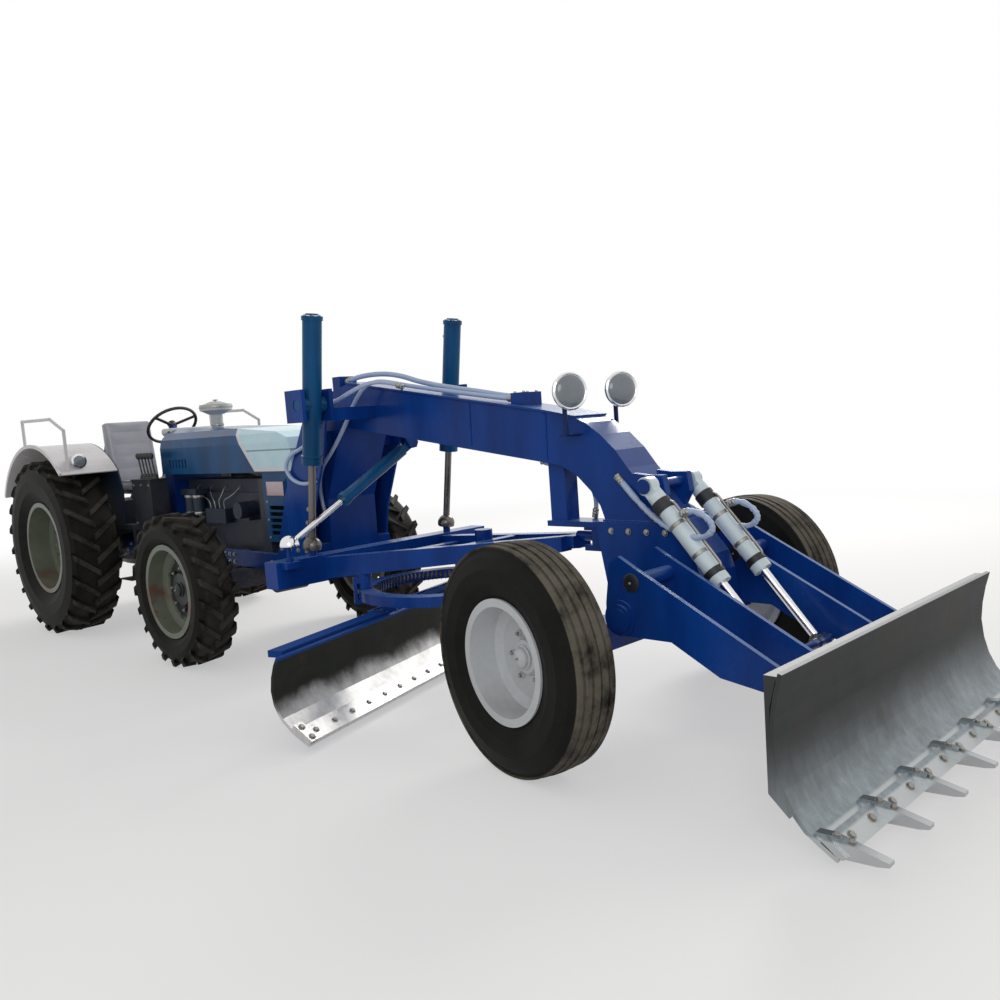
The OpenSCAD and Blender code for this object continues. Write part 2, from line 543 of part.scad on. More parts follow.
module front_box() color("royalblue") at_frame() {
  w = box_w / 2;
  side_plate([[5360, 999.7], [5348, 955], [5420, bolster_z], [5830, bolster_z], [5960, 640], [5944, 760], [5914, 840],
    [5778, 999.7]], [-w, w]);
  // Tongue that carries the brace and the socket of the drawbar ball
  box([4950, 5360], [-75, 75], [955, 984.7]);
  difference() {
    box([5190, 5380], [-62, 62], [832, 956]);
    translate([ball[0], 0, ball[1]]) sphere(r = 42);
    box([5100, ball[0]], [-70, 70], [862, 938]);
  }
  // Cheeks that hold the axle beam fore and aft
  box([axle_x0 - 30, axle_x0], [-w, w], [grader_z - 70, bolster_z + 5.7]);
  box([axle_x1, axle_x1 + 30], [-w, w], [grader_z - 70, bolster_z + 5.7]);
  // Pivot tube of the blade arms with end collars
  along_y(arm_pivot[0], arm_pivot[1], 45, [-596, 596]);
  both() along_y(arm_pivot[0], arm_pivot[1], 62, [578.5, 592]);
}
module work_lamps() color("silver") at_frame() for (s = [-1, 1]) translate([5235, s * 205, 1650]) {
  rotate([0, 0, -22]) {
    rotate([0, 90, 0]) cylinder(r1 = 60, r2 = 84, h = 50);
    translate([50, 0, 0]) rotate([0, 90, 0]) cylinder(r = 88, h = 22);
    translate([-50, 0, 0]) rotate([0, 90, 0]) cylinder(r1 = 30, r2 = 60, h = 50);
  }
  translate([0, 0, -220]) cylinder(r = 12, h = 200);
  translate([-25, s > 0 ? beam_w / 2 - 205 : -25, -222]) cube([50, 230 - beam_w / 2, 10]);
}

// Blade lift cylinders
module lift_place(side) translate([lift_top[0], side * lift_y, lift_top[1]]) rotate([0, lift_ang, 0]) children();
module lift_barrel() difference() {
  union() {
    translate([0, 0, -330]) cylinder(r = lift_d / 2, h = 820);
    translate([0, 0, 490]) cylinder(r = lift_d / 2 + 6, h = 26);
    translate([0, 0, -356]) cylinder(r = lift_d / 2 + 6, h = 40);
    translate([0, -106, 0]) rotate([-90, 0, 0]) cylinder(r = 34, h = 212);
    translate([0, -78, 0]) rotate([-90, 0, 0]) cylinder(r = 46, h = 156);
  }
  translate([0, 0, -357]) cylinder(r = lift_rod_d / 2 + 0.5, h = 560);
}
module lift_rod() {
  difference() {
    translate([0, 0, -lift_len + 30]) cylinder(r = lift_rod_d / 2, h = lift_len - 30 - 130);
    translate([0, 0, -lift_len]) sphere(r = 50);
  }
  difference() {
    translate([0, 0, -lift_len]) sphere(r = 58);
    translate([0, 0, -lift_len]) sphere(r = 44.5);
    translate([-70, -70, -lift_len - 80]) cube([140, 140, 60]);
  }
}
module lift_barrel_left() color("royalblue") at_frame() lift_place(1) lift_barrel();
module lift_barrel_right() color("royalblue") at_frame() lift_place(-1) lift_barrel();
module lift_rod_left() color("silver") at_frame() lift_place(1) lift_rod();
module lift_rod_right() color("silver") at_frame() lift_place(-1) lift_rod();

// Centre shift cylinder across the machine
module shift_place() translate([shift_x, shift_top[0], shift_top[1]]) rotate([-shift_ang, 0, 0]) children();
module shift_barrel() color("midnightblue") at_frame() shift_place() {
  difference() {
    union() {
      translate([0, 0, -650]) cylinder(r = 40, h = 565);
      translate([0, 0, -655]) cylinder(r = 45, h = 40);
      translate([-19, 0, 0]) rotate([0, 90, 0]) cylinder(r = 34, h = 38);
      translate([-19, -26, -90]) cube([38, 52, 80]);
    }
    translate([0, 0, -656]) cylinder(r = 18.5, h = 240);
    translate([-20, 0, 0]) rotate([0, 90, 0]) cylinder(r = 16.4, h = 40);
  }
}
// The rod ends in a cup over the drawbar's ball; it is open below and wider than the ball
module cup(r_in) difference() {
  sphere(r = 58);
  sphere(r = r_in);
  translate([-70, -70, -80]) cube([140, 140, 80 - 6]);
}
module shift_rod() color("silver") at_frame() {
  difference() {
    shift_place() translate([0, 0, -shift_len + 30]) cylinder(r = 18, h = shift_len - 30 - 560);
    translate([shift_x, shift_eye[0], shift_eye[1]]) sphere(r = 50);
  }
  translate([shift_x, shift_eye[0], shift_eye[1]]) cup(46);
}

// Drawbar with cross beam, eyes for the lift rods, ball and circle shoes
module leg(y0, y1, x0, x1) hull() {
  translate([x0, y0 - 40, 645]) cube([10, 80, 130]);
  translate([x1, y1 - 40, 824]) cube([10, 80, 81]);
}
module drawbar() color("royalblue") at_frame() {
  box([cross_x - 65, cross_x + 65], [-cross_half, cross_half], cross_z);
  for (s = [-1, 1]) leg(s * 470, s * 70, cross_x + 60, 5060);
  box([4400, 4460], [-215, 215], [750, 850]);
  box([3700, 3760], [-390, 390], [690, 760]);
  // Drive of the circle: gear case, motor and pinion
  translate([4395, 0, 592]) cylinder(r = 84, h = 160);
  box([4330, 4440], [-84, 84], [700, 790]);
  translate([4370, 0, 789]) cylinder(r = 52, h = 120);
  translate([4395, 0, 500]) cylinder(r = 22, h = 100);
  translate([4390, 0, 524]) cylinder(r = 42, h = 52, $fn = 12);
  box([5060, 5120], [-70, 70], [846, 905]);
  translate([5100, 0, ball[1]]) rotate([0, 90, 0]) cylinder(r = 26, h = 130);
  translate([ball[0], 0, ball[1]]) sphere(r = 41);
  // Ball studs for the lift rods
  for (s = [-1, 1]) translate([lift_eye[0], s * lift_y, 0]) {
    translate([0, 0, cross_z[1] - 1]) cylinder(r = 24, h = lift_eye[1] - cross_z[1]);
    translate([0, 0, lift_eye[1]]) sphere(r = 39);
  }
  // Ball stud for the centre shift rod, on a shelf ahead of the cross beam
  box([cross_x + 64, shift_x + 30], [shift_eye[0] - 48, shift_eye[0] + 48], [750, 790]);
  translate([shift_x - 12, shift_eye[0], 789]) cylinder(r = 12, h = shift_eye[1] - 789);
  translate([shift_x - 12, shift_eye[0], 789]) cylinder(r = 24, h = 22);
  translate([shift_x - 12, shift_eye[0], shift_eye[1]]) sphere(r = 18);
  // Pads above the circle and clamps round its rim
  for (p = [[3720, 403, 700], [4425, 228, 800]], s = [-1, 1]) {
    translate([p[0], s * p[1], ring_z[1] + fit]) cylinder(r = 46, h = p[2] - ring_z[1] - fit);
    a = atan2(s * p[1], p[0] - circle_x);
    translate([circle_x, 0, 0]) rotate([0, 0, a]) {
      translate([circle_r + 7, -45, ring_z[0] - 26]) cube([22, 90, ring_z[1] + 100 - ring_z[0]]);
      translate([circle_r - 28, -45, ring_z[0] - 26]) cube([50, 90, 26 - fit]);
      translate([circle_r - 60, -45, ring_z[1] + 40]) cube([88, 90, 34]);
    }
  }
}
module turned() translate([circle_x, 0, 0]) rotate([0, 0, mold_deg]) children();
module turn_circle() color("royalblue") at_frame() turned() {
  rotate_extrude($fn = 96) translate([circle_r - 90, ring_z[0]]) square([90, ring_z[1] - ring_z[0]]);
  for (s = [-1, 1]) side_plate([[-150, ring_z[0]], [-60, ring_z[0]], [-60, 486], [-128, 486], [-128, 452],
    [-215, 452], [-215, 170], [-260, 170], [-260, 486], [-150, 486]], [s * 460 - 13, s * 460 + 13]);
  box([-260, -236], [-447, 447], [430, 486]);
  box([-260, -236], [-447, 447], [180, 250]);
}
// Front face of a curved blade as fractions: offset ahead of the deepest point, height
function face(tab, x0, dx, z0, dz) = [for (p = tab) [x0 + p[0] * dx, z0 + p[1] * dz]];
function normal_at(c, i) = let(a = c[max(i - 1, 0)], b = c[min(i + 1, len(c) - 1)], d = b - a) [d[1], -d[0]] / norm(d);
function back(c, t) = [for (i = [len(c) - 1:-1:0]) c[i] - normal_at(c, i) * t];
mold_tab = [[1, 0], [0.55, 0.13], [0.22, 0.28], [0.05, 0.44], [0, 0.6], [0.05, 0.76], [0.15, 0.9], [0.26, 1]];
mold_face = face(mold_tab, -150, 195, 50, mold_h);
module moldboard() color("silver") at_frame() turned() {
  side_plate(concat(mold_face, back(mold_face, mold_t)), [-mold_len / 2, mold_len / 2]);
  // Cutting edge, end bits, top stiffener and back ribs
  side_plate([[44, 50], [-44, 101], [-36, 117], [52, 62]], [-mold_len / 2 + 58, mold_len / 2 - 58]);
  for (s = [-1, 1]) side_plate([[40, 50], [-60, 112], [-44, 140], [60, 66]],
    [s > 0 ? mold_len / 2 - 60 : -mold_len / 2, s > 0 ? mold_len / 2 : -mold_len / 2 + 60]);
  for (y = [[-1390, -473.3], [-446.7, 446.7], [473.3, 1390]]) box([-214.7, -128.3], y, [452.3, 486]);
  for (y = [-1180, -820, -460, 0, 460, 820, 1180]) let(top = abs(y) == 460 ? 451.7 : 452.4)
    side_plate([[-199.7, top], [-118, top], [-164, 345], [-160, 260], [-140, 200], [-199.7, 200]], [y - 12, y + 12]);
}

// Front dozer blade
module arm(y) difference() {
  union() {
    side_plate([[5722, 590], [5722, 700], [5752, 880], [5800, 912], [5880, 868], [6560, 512], [6744.7, 440],
      [6744.7, 250], [6560, 400], [6290, 440], [6060, 560], [5800, 560]], [y - arm_t / 2, y + arm_t / 2]);
    side_disc(arm_pivot, 80, [y - 22, y + 22]);
  }
  side_disc(arm_pivot, 46, [y - 30, y + 30]);
}
module dozer_arms() color("royalblue") at_frame() {
  for (y = [-arm_out, -arm_in, arm_in, arm_out]) arm(y);
  for (s = [-1, 1]) along_y(5868, 800, 34, s > 0 ? [arm_in, arm_out] : [-arm_out, -arm_in]);
  along_y(dozer_eye[0], dozer_eye[1], 20, [-arm_in, arm_in]);
  box([6580, 6744.7], [-arm_out, arm_out], [396, 408]);
}
tine_pitch = (blade_w - 2 * tine_inset) / (tine_count - 1);
blade_tab = [[1, 0], [0.74, 0.06], [0.5, 0.12], [0.3, 0.21], [0.15, 0.32], [0.05, 0.45], [0, 0.6], [0.03, 0.74],
  [0.1, 0.88], [0.19, 1]];
blade_face = face(blade_tab, 6772, 220, edge_z, blade_h);
module dozer_blade() color("gray") at_frame() {
  h = blade_w / 2;
  side_plate(concat(blade_face, back(blade_face, blade_t)), [-h, h]);
  // Cutting edge, tines, top rail, ribs and end plates
  side_plate([[6930, 104], [6985, 60], [7004, edge_z], [7016, 68], [6946, 122]], [-h, h]);
  for (i = [0:tine_count - 1]) translate([0, (i - (tine_count - 1) / 2) * tine_pitch, 0])
    side_plate([[6900, 84], [7000, edge_z], [7110, 62], [tip_x, 70], [tip_x, 84], [7040, 108], [6960, 126],
      [6905, 124]], [-19, 19]);
  box([6745, 6800], [-h, h], [edge_z + blade_h - 22, edge_z + blade_h - 8]);
  for (y = [-h + 8, -arm_out, -arm_in, 0, arm_in, arm_out, h - 8]) side_plate([[6745, 627], [6790, 627], [6762, 520],
    [6757, 400], [6775, 290], [6830, 180], [6820, 150], [6745, 220]], [y - 8, y + 8]);
}
module dozer_place(y) translate([dozer_top[0], y, dozer_top[1]]) rotate([0, dozer_ang, 0]) children();
module dozer_barrels() color("royalblue") at_frame() for (s = [-1, 1]) dozer_place(s * dozer_y) {
  difference() {
    union() {
      translate([0, 0, -560]) cylinder(r = dozer_d / 2, h = 500);
      translate([0, 0, -575]) cylinder(r = dozer_d / 2 + 5, h = 40);
      translate([0, 30, 0]) rotate([90, 0, 0]) cylinder(r = 44, h = 60);
      translate([-30, -28, -70]) cube([60, 56, 50]);
    }
    translate([0, 40, 0]) rotate([90, 0, 0]) cylinder(r = 24.3, h = 80);
    translate([0, 0, -576]) cylinder(r = dozer_rod_d / 2 + 0.5, h = 196);
  }
}
module dozer_rods() color("silver") at_frame() for (s = [-1, 1]) dozer_place(s * dozer_y) difference() {
  union() {
    translate([0, 0, -dozer_len + 20]) cylinder(r = dozer_rod_d / 2, h = dozer_len - 20 - 500);
    translate([0, 28, -dozer_len]) rotate([90, 0, 0]) cylinder(r = 44, h = 56);
  }
  translate([0, 40, -dozer_len]) rotate([90, 0, 0]) cylinder(r = 24, h = 80);
}

chassis();
engine_block();
hood();
fenders();
platform();
seat();
console();
steering_wheel();
precleaner();
hoses();
rear_hitch();
tractor_front_axle();
subframe();
main_beam();
front_box();
work_lamps();
grader_axle();
wheel_rear_left();
tyre_rear_left();
wheel_rear_right();
tyre_rear_right();
wheel_front_left();
tyre_front_left();
wheel_front_right();
tyre_front_right();
knuckle_left();
knuckle_right();
steering_rod();
wheel_grader_left();
tyre_grader_left();
wheel_grader_right();
tyre_grader_right();
drawbar();
turn_circle();
moldboard();
lift_barrel_left();
lift_rod_left();
lift_barrel_right();
lift_rod_right();
shift_barrel();
shift_rod();
dozer_arms();
dozer_blade();
dozer_barrels();
dozer_rods();
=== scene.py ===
# %% [markdown]
# # A tractor-based motor grader, dressed for its picture
# The frame of the machine was built elsewhere, at its real size. This lesson gives it its
# looks: paint, rubber, worn steel, bolts, welds, hoses, lamps and a seat, then a camera and soft light.
# Everything is in metres, +X is forward, +Y is the driver's left, and the ground is at Z = 0.

# %% Load the machine
import json
import math
import bpy
import bmesh
from mathutils import Matrix, Vector

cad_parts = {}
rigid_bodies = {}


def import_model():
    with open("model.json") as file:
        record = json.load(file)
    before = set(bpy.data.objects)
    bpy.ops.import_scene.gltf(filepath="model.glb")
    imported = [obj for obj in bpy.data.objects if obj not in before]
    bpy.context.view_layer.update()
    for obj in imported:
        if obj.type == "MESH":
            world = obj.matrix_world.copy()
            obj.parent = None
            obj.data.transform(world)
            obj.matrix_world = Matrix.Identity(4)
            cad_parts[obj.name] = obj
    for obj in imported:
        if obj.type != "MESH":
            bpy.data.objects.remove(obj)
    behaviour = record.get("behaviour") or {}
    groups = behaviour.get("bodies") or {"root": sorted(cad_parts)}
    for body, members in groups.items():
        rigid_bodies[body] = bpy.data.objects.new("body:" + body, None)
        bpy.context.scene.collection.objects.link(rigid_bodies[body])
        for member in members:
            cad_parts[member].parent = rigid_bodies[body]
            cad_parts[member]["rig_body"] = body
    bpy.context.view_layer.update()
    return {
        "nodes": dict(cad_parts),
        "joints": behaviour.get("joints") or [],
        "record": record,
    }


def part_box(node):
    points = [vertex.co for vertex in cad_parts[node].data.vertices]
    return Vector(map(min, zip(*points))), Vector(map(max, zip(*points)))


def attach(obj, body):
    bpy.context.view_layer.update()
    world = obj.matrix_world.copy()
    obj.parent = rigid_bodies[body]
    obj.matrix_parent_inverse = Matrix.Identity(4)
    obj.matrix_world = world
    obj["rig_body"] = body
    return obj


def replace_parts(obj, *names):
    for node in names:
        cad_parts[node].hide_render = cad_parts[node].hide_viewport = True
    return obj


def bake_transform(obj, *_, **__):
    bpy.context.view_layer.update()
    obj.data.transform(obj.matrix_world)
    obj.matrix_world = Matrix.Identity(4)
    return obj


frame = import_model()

NODES = frame["nodes"]
UP, FORWARD = (0, 0, 1), (1, 0, 0)


def shown(name, data):
    """A new object at the origin, linked to the scene."""
    made = bpy.data.objects.new(name, data)
    bpy.context.scene.collection.objects.link(made)
    return made


def evaluated(thing):
    """What the modifiers make of the thing, as a plain mesh."""
    return bpy.data.meshes.new_from_object(thing.evaluated_get(bpy.context.evaluated_depsgraph_get()))


# %% [markdown]
# ## The camera
# The picture was taken from the right front corner at standing height, with the camera turned a little.
# Six wheels of known size gave the place, the angles and the focal length in pixels. Blender's sensor is
# 36 mm wide and the picture 1000 pixels, so one factor turns pixels into millimetres.

# %% Camera
EYE = Vector((5.175, -3.742, 1.542))
YAW, PITCH, ROLL = math.radians(44.397), math.radians(6.243), -0.0708
FOCAL_PX, CENTRE_PX, SIZE_PX, SENSOR_MM = 938.189, (517.77, 520.14), 1000, 36
right = Vector((math.cos(YAW), math.sin(YAW), 0))
ahead = Vector((-math.sin(YAW), math.cos(YAW), 0))
look = math.cos(PITCH) * ahead - math.sin(PITCH) * Vector(UP)
down = -(math.cos(PITCH) * Vector(UP) + math.sin(PITCH) * ahead)
across = math.cos(ROLL) * right - math.sin(ROLL) * down
below = math.sin(ROLL) * right + math.cos(ROLL) * down
camera = shown("camera", bpy.data.cameras.new("camera"))
camera.data.sensor_width = SENSOR_MM
camera.data.lens = FOCAL_PX * SENSOR_MM / SIZE_PX
camera.data.shift_x = (SIZE_PX / 2 - CENTRE_PX[0]) / SIZE_PX
camera.data.shift_y = (CENTRE_PX[1] - SIZE_PX / 2) / SIZE_PX
camera.data.clip_end = 200
camera.matrix_world = Matrix.Translation(EYE) @ Matrix((across, -below, -look)).transposed().to_4x4()
bpy.context.scene.camera = camera
print("lens %.2f mm" % camera.data.lens)

# %% [markdown]
# ## Shader maths as plain expressions
# A shader is a small sum done at each point of a surface. Written as nodes it is hard to read, so this
# class wraps one output of the tree and lets Python's signs add the Math nodes: `dust * 0.5 + rust`.
# Colours never pass through a Math node, which would turn them grey; they go through `tint`.

# %% Wire
def built(tree, kind, sockets, out, settings):
    """One node's output, with the settings made first and then each socket's value or link."""
    made = tree.nodes.new(kind)
    for name, value in settings.items():
        setattr(made, name, value)
    for key, value in sockets.items():
        value = getattr(value, "socket", value)
        if isinstance(value, bpy.types.NodeSocket):
            tree.links.new(value, made.inputs[key])
        else:
            made.inputs[key].default_value = value
    return made.outputs[out]


class Wire:
    def __init__(self, tree, socket):
        self.tree, self.socket = tree, socket

    def node(self, kind, sockets, out=0, **settings):
        return Wire(self.tree, built(self.tree, "ShaderNode" + kind, sockets, out, settings))

    def math(self, operation, *values, clamp=False):
        return self.node("Math", dict(enumerate(values)), operation=operation, use_clamp=clamp)

    def vector(self, operation, *others, out=0):
        return self.node("VectorMath", dict(enumerate((self, *others))), out, operation=operation)

    def __add__(self, other):
        return self.math("ADD", self, other)

    def __sub__(self, other):
        return self.math("SUBTRACT", self, other)

    def __rsub__(self, other):
        return self.math("SUBTRACT", other, self)

    def __mul__(self, other):
        return self.math("MULTIPLY", self, other)

    def __abs__(self):
        return self.math("ABSOLUTE", self)

    __radd__, __rmul__ = __add__, __mul__

    def sine(self):
        return self.math("SINE", self)

    def clip(self):
        return self.math("ADD", self, 0, clamp=True)

    def step(self, low, high):
        """0 below low, 1 above high and smooth between; low may be above high."""
        if low > high:
            return 1 - self.step(high, low)
        return self.node("MapRange", {"Value": self, "From Min": low, "From Max": high},
                         interpolation_type="SMOOTHSTEP")

    def axis(self, index):
        return self.node("SeparateXYZ", {0: self}, index)

    def scaled(self, x, y, z):
        return self.vector("MULTIPLY", (x, y, z))

    def dot(self, direction):
        return self.vector("DOT_PRODUCT", direction, out=1)

    def length(self):
        return self.vector("LENGTH", out=1)

    def noise(self, scale, detail=3, rough=0.55):
        return self.node("TexNoise", {"Vector": self, "Scale": scale, "Detail": detail, "Roughness": rough})

    def tint(self, zero, one):
        """The colour `zero` where the wire is 0 and `one` where it is 1."""
        return self.node("Mix", {0: self, 6: colour(zero), 7: colour(one)}, 2, data_type="RGBA")


def colour(value):
    return value if isinstance(value, Wire) else (*value, 1) if len(value) == 3 else value


class Finish:
    """One material: `point` is the place on the machine, `facing` where a face looks, `up` its height."""

    def __init__(self, name, **fixed):
        self.material = bpy.data.materials.new(name)
        self.material.use_nodes = True
        tree = self.material.node_tree
        self.shader = tree.nodes["Principled BSDF"]
        places = tree.nodes.new("ShaderNodeTexCoord")
        self.point = Wire(tree, places.outputs["Object"])
        self.facing = Wire(tree, places.outputs["Normal"])
        self.up = self.facing.axis(2)
        self.set(**fixed)

    def set(self, **values):
        for name, value in values.items():
            socket = self.shader.inputs[name.replace("_", " ")]
            if isinstance(value, Wire):
                self.material.node_tree.links.new(value.socket, socket)
            else:
                socket.default_value = colour(value) if isinstance(value, tuple) else value
        return self

    def base(self):
        return Wire(self.material.node_tree, self.shader.inputs["Base Color"].links[0].from_socket)

    def bump(self, height, distance=0.001, strength=1.0):
        relief = {"Height": height, "Distance": distance, "Strength": strength}
        return self.set(Normal=height.node("Bump", relief))


print("shader helpers ready")

# %% [markdown]
# ## Dust that knows where it lies
# A grader works in dry soil. Dust settles on faces that look up, is thrown on everything near the
# ground, and gathers in clouds rather than evenly. One helper gives that mask for every finish, so all
# the pieces look as if they stood in the same yard. The soil is tan laterite earth.

# %% Dust
SOIL, RUST = (0.30, 0.21, 0.145), (0.10, 0.045, 0.025)
# The second colour is the pale blue of upper faces: partly sun-faded paint, partly a painted sky highlight.
BARE_STEEL, SKY_SHEEN = (0.14, 0.15, 0.19), (0.14, 0.27, 0.56)


def dust(finish, settled=0.5, splash=0.6, top=1.0):
    clouds = finish.point.noise(2.6, 5, 0.62)
    fine = finish.point.noise(38, 3, 0.6)
    height = finish.point.axis(2)
    lying = finish.up.step(0.35, 0.98) * clouds.step(0.42, 0.72) * settled
    thrown = height.step(top, 0.05) * (clouds * 0.6 + fine * 0.4).step(0.40, 0.66) * splash
    return (lying + thrown).clip()


print("soil", SOIL)

# %% [markdown]
# ## Royal blue machine paint
# The whole frame wears one coat of deep royal blue, sprayed over plate steel. Up close it is not one
# colour: it is darker in runs, scratched where chains and boots rub it, freckled with rust and mottled
# with orange peel. Its upper faces are paler, partly sun-faded paint and partly a painted highlight of
# the sky. The base is dark and saturated, and most of what shines on it is the sky, mirrored by the
# gloss wherever a face is seen at a slant.

# %% Blue paint
def machine_paint(name, deep, bright, sky_sheen=0.5, dirt=0.12):
    finish = Finish(name, Metallic=0.0, Specular_IOR_Level=0.14, Coat_Roughness=0.12)
    runs = finish.point.scaled(1, 1, 0.3).noise(4.5, 4)
    peel = finish.point.noise(260, 2)
    scratch = finish.point.scaled(1, 6, 1).noise(30, 6, 0.75)
    worn = (scratch.step(0.67, 0.74) * finish.point.noise(3.1, 2).step(0.5, 0.64)).clip()
    patches = finish.point.noise(2.2, 3).step(0.48, 0.66)
    freckle = finish.point.noise(70, 4, 0.7).step(0.70, 0.74) * patches
    # Upper faces are tinted pale blue: partly sun-fading, partly a painted highlight of the sky.
    faded_and_sky_sheen = (finish.up.step(0.5, 1.0) * sky_sheen).tint(runs.step(0.3, 0.72).tint(deep, bright), SKY_SHEEN)
    rusty = (freckle * 0.7).tint((worn * 0.7).tint(faded_and_sky_sheen, BARE_STEEL), RUST)
    grime = dust(finish, 0.2, dirt, 0.8)
    finish.set(Base_Color=(grime * 0.7).tint(rusty, SOIL),
               Roughness=(0.2 + runs * 0.12 + grime * 0.45 + worn * 0.25).clip(),
               Coat_Weight=finish.up.step(0.15, 0.8) * 0.35 * (1 - grime))
    return finish.bump(peel * 0.3 + runs * 0.3 + worn * -0.5 + grime * 0.3, 0.0006, 0.5)


blue = machine_paint("paint_royal_blue", (0.003, 0.034, 0.20), (0.005, 0.056, 0.30))
teal_blue = machine_paint("paint_cylinder_blue", (0.003, 0.052, 0.14), (0.006, 0.09, 0.24), 0.2)
dark_blue = machine_paint("paint_dark_blue", (0.004, 0.018, 0.09), (0.008, 0.03, 0.15), 0.2)
print("blue paints", len(bpy.data.materials))

# %% [markdown]
# ## The tractor's hood
# The hood is the same blue, but the front of its sides is a pale mint panel, in part a painted
# reflection of the sky on the sloping front, and a white swoosh follows the panel's slanted rear edge.
# It is a stripe by place: one slanted line in X and Z splits the colours, and a second, a hand's width
# away, bounds the swoosh.

# %% Hood paint
PANEL_FOOT, STRIPE_TOP, SEAM_LOW, SEAM_HIGH = 1.292, 1.318, 1.432, 1.442


def hood_paint():
    finish = machine_paint("paint_hood", (0.004, 0.055, 0.15), (0.008, 0.09, 0.25), 0.15, 0.04)

    def past(value, border):
        """0 before the border and 1 after it, with a sprayed edge of 4 mm."""
        return value.step(border, border + 0.004)

    low = finish.point.axis(2)
    slant = finish.point.axis(0) + low * 0.9
    panel = past(slant, 0.462) * past(low, PANEL_FOOT)
    edge = (1 - past(slant, 0.464)) + (1 - past(low, STRIPE_TOP))
    swoosh = past(slant, 0.42) * edge.clip() * past(low, PANEL_FOOT)
    seam = past(low, SEAM_LOW) * (1 - past(low, SEAM_HIGH))
    # The pale mint is in part a painted reflection of the sky on the hood's front.
    pale = finish.point.noise(9, 4).step(0.35, 0.75).tint((0.60, 0.84, 0.93), (0.68, 0.90, 0.97))
    striped = (seam * 0.75).tint(pale, (0.12, 0.19, 0.25))
    return finish.set(Base_Color=swoosh.tint(panel.tint(finish.base(), striped), (0.80, 0.80, 0.84)))


hood_finish = hood_paint()
print("hood", hood_finish.material.name)

# %% [markdown]
# ## Tyre rubber
# The sidewalls are near black with fine mould rings, and the tread, which touches the soil, wears a tan
# bloom that is strongest on its crown. Rings need the distance from the wheel's axle, so each wheel gets
# its own copy of the finish, told where its axle is and which way it points.

# %% Rubber
MOULD_RINGS = 420  # radians of the ripple per metre


def rubber(name, hub, axle, tread_r, crown, side):
    finish = Finish(name, Metallic=0.0, Specular_IOR_Level=0.1)
    offset = finish.point.vector("SUBTRACT", hub)
    along, length = offset.dot(axle), offset.length()
    square = length * length - along * along
    radius = square.math("SQRT", square)
    tread = radius.step(tread_r - 0.012, tread_r + 0.008)
    clouds = finish.point.noise(7, 5, 0.65)
    specks = finish.point.noise(90, 3, 0.6)
    dirt = ((side + tread * crown) * clouds.step(0.28, 0.62) + specks.step(0.6, 0.75) * 0.05).clip()
    base = clouds.tint((0.003, 0.003, 0.003), (0.008, 0.008, 0.0075))
    rings = (radius * MOULD_RINGS).sine() * (1 - tread)
    finish.set(Base_Color=dirt.tint(base, (0.17, 0.15, 0.12)), Roughness=(0.58 + dirt * 0.35).clip())
    return finish.bump(rings * 0.14 + specks * 0.35 + clouds * 0.3, 0.0016, 0.7)


WHEELS = {}
for joint in frame["joints"]:
    if joint.get("continuous"):
        WHEELS[joint["child"]] = (Vector(joint["pos_m"]), Vector(joint["axis"]).normalized())
print("wheels", sorted(WHEELS))

# %% [markdown]
# ## Rims, castings and dark steel
# Rims are a short recipe on the same helpers: the tractor's are cream darkened to grey-green as painted
# shade, with grime, chips and a red primer bloom, the grader's own a plain light grey bowl. Castings are
# greasy and dark, and the platform carries the raised lozenges of checker plate, drawn as two crossed sine
# waves in the bump.

# %% Rims
PRIMER = (0.13, 0.05, 0.04)
FRONT_AXLE = (-0.96, 0, 0.531)
FENDER_WALL = 0.4925


def rim_paint(name, light, shade, dirt, primer=0.0):
    finish = Finish(name, Metallic=0.0, Specular_IOR_Level=0.35, Coat_Weight=0.1, Coat_Roughness=0.3)
    clouds = finish.point.noise(6, 5, 0.6)
    chips = finish.point.noise(55, 4, 0.7).step(0.68, 0.72)
    film = (dust(finish, 0.25, dirt, 1.2) + clouds.step(0.45, 0.8) * dirt * 0.5).clip()
    spread = finish.point.noise(3.3, 3).step(0.52, 0.66) * primer
    grimy = film.tint(spread.tint(clouds.tint(shade, light), PRIMER), (0.19, 0.16, 0.125))
    finish.set(Base_Color=(chips * 0.6).tint(grimy, (0.09, 0.055, 0.035)),
               Roughness=(0.38 + film * 0.4).clip())
    return finish.bump(chips * -1 + clouds * 0.3, 0.0005, 0.6)


# Both tractor rim finishes use cream darkened to grey-green: painted shade, as the rims stand in shadow.
shaded_cream = rim_paint("paint_rim_shaded_cream", (0.20, 0.22, 0.165), (0.10, 0.12, 0.09), 0.4, 0.5)
dark_hub = rim_paint("paint_rim_dark_hub", (0.20, 0.22, 0.165), (0.09, 0.11, 0.085), 0.4, 0.9)
hub_r = dark_hub.point.vector("SUBTRACT", FRONT_AXLE).scaled(1, 0, 1).length()
dark_hub.set(Base_Color=hub_r.step(0.215, 0.195).tint(dark_hub.base(), (0.014, 0.018, 0.018)))
grey_rim = rim_paint("paint_rim_grey", (0.66, 0.68, 0.70), (0.52, 0.535, 0.55), 0.15)
fender_finish = rim_paint("paint_fender", (0.76, 0.74, 0.76), (0.62, 0.60, 0.60), 0.25)
wall = abs(fender_finish.point.axis(1)).step(FENDER_WALL, FENDER_WALL - 0.001)
fender_finish.set(Base_Color=wall.tint(fender_finish.base(), (0.012, 0.022, 0.05)))


# %% Castings and dark parts
def cast_metal(name, light, dark, metal=0.0, rough=0.55, dirt=0.5):
    finish = Finish(name, Metallic=metal, Specular_IOR_Level=0.4)
    grain = finish.point.noise(160, 3, 0.6)
    grease = finish.point.noise(4.2, 5, 0.6).step(0.42, 0.7)
    film = dust(finish, 0.4, dirt, 0.9)
    finish.set(Base_Color=(film * 0.8).tint(grease.tint(light, dark), SOIL),
               Roughness=(rough - grease * 0.2 + film * 0.3).clip())
    return finish.bump(grain * 0.7 + film * 0.3, 0.0009, 0.8)


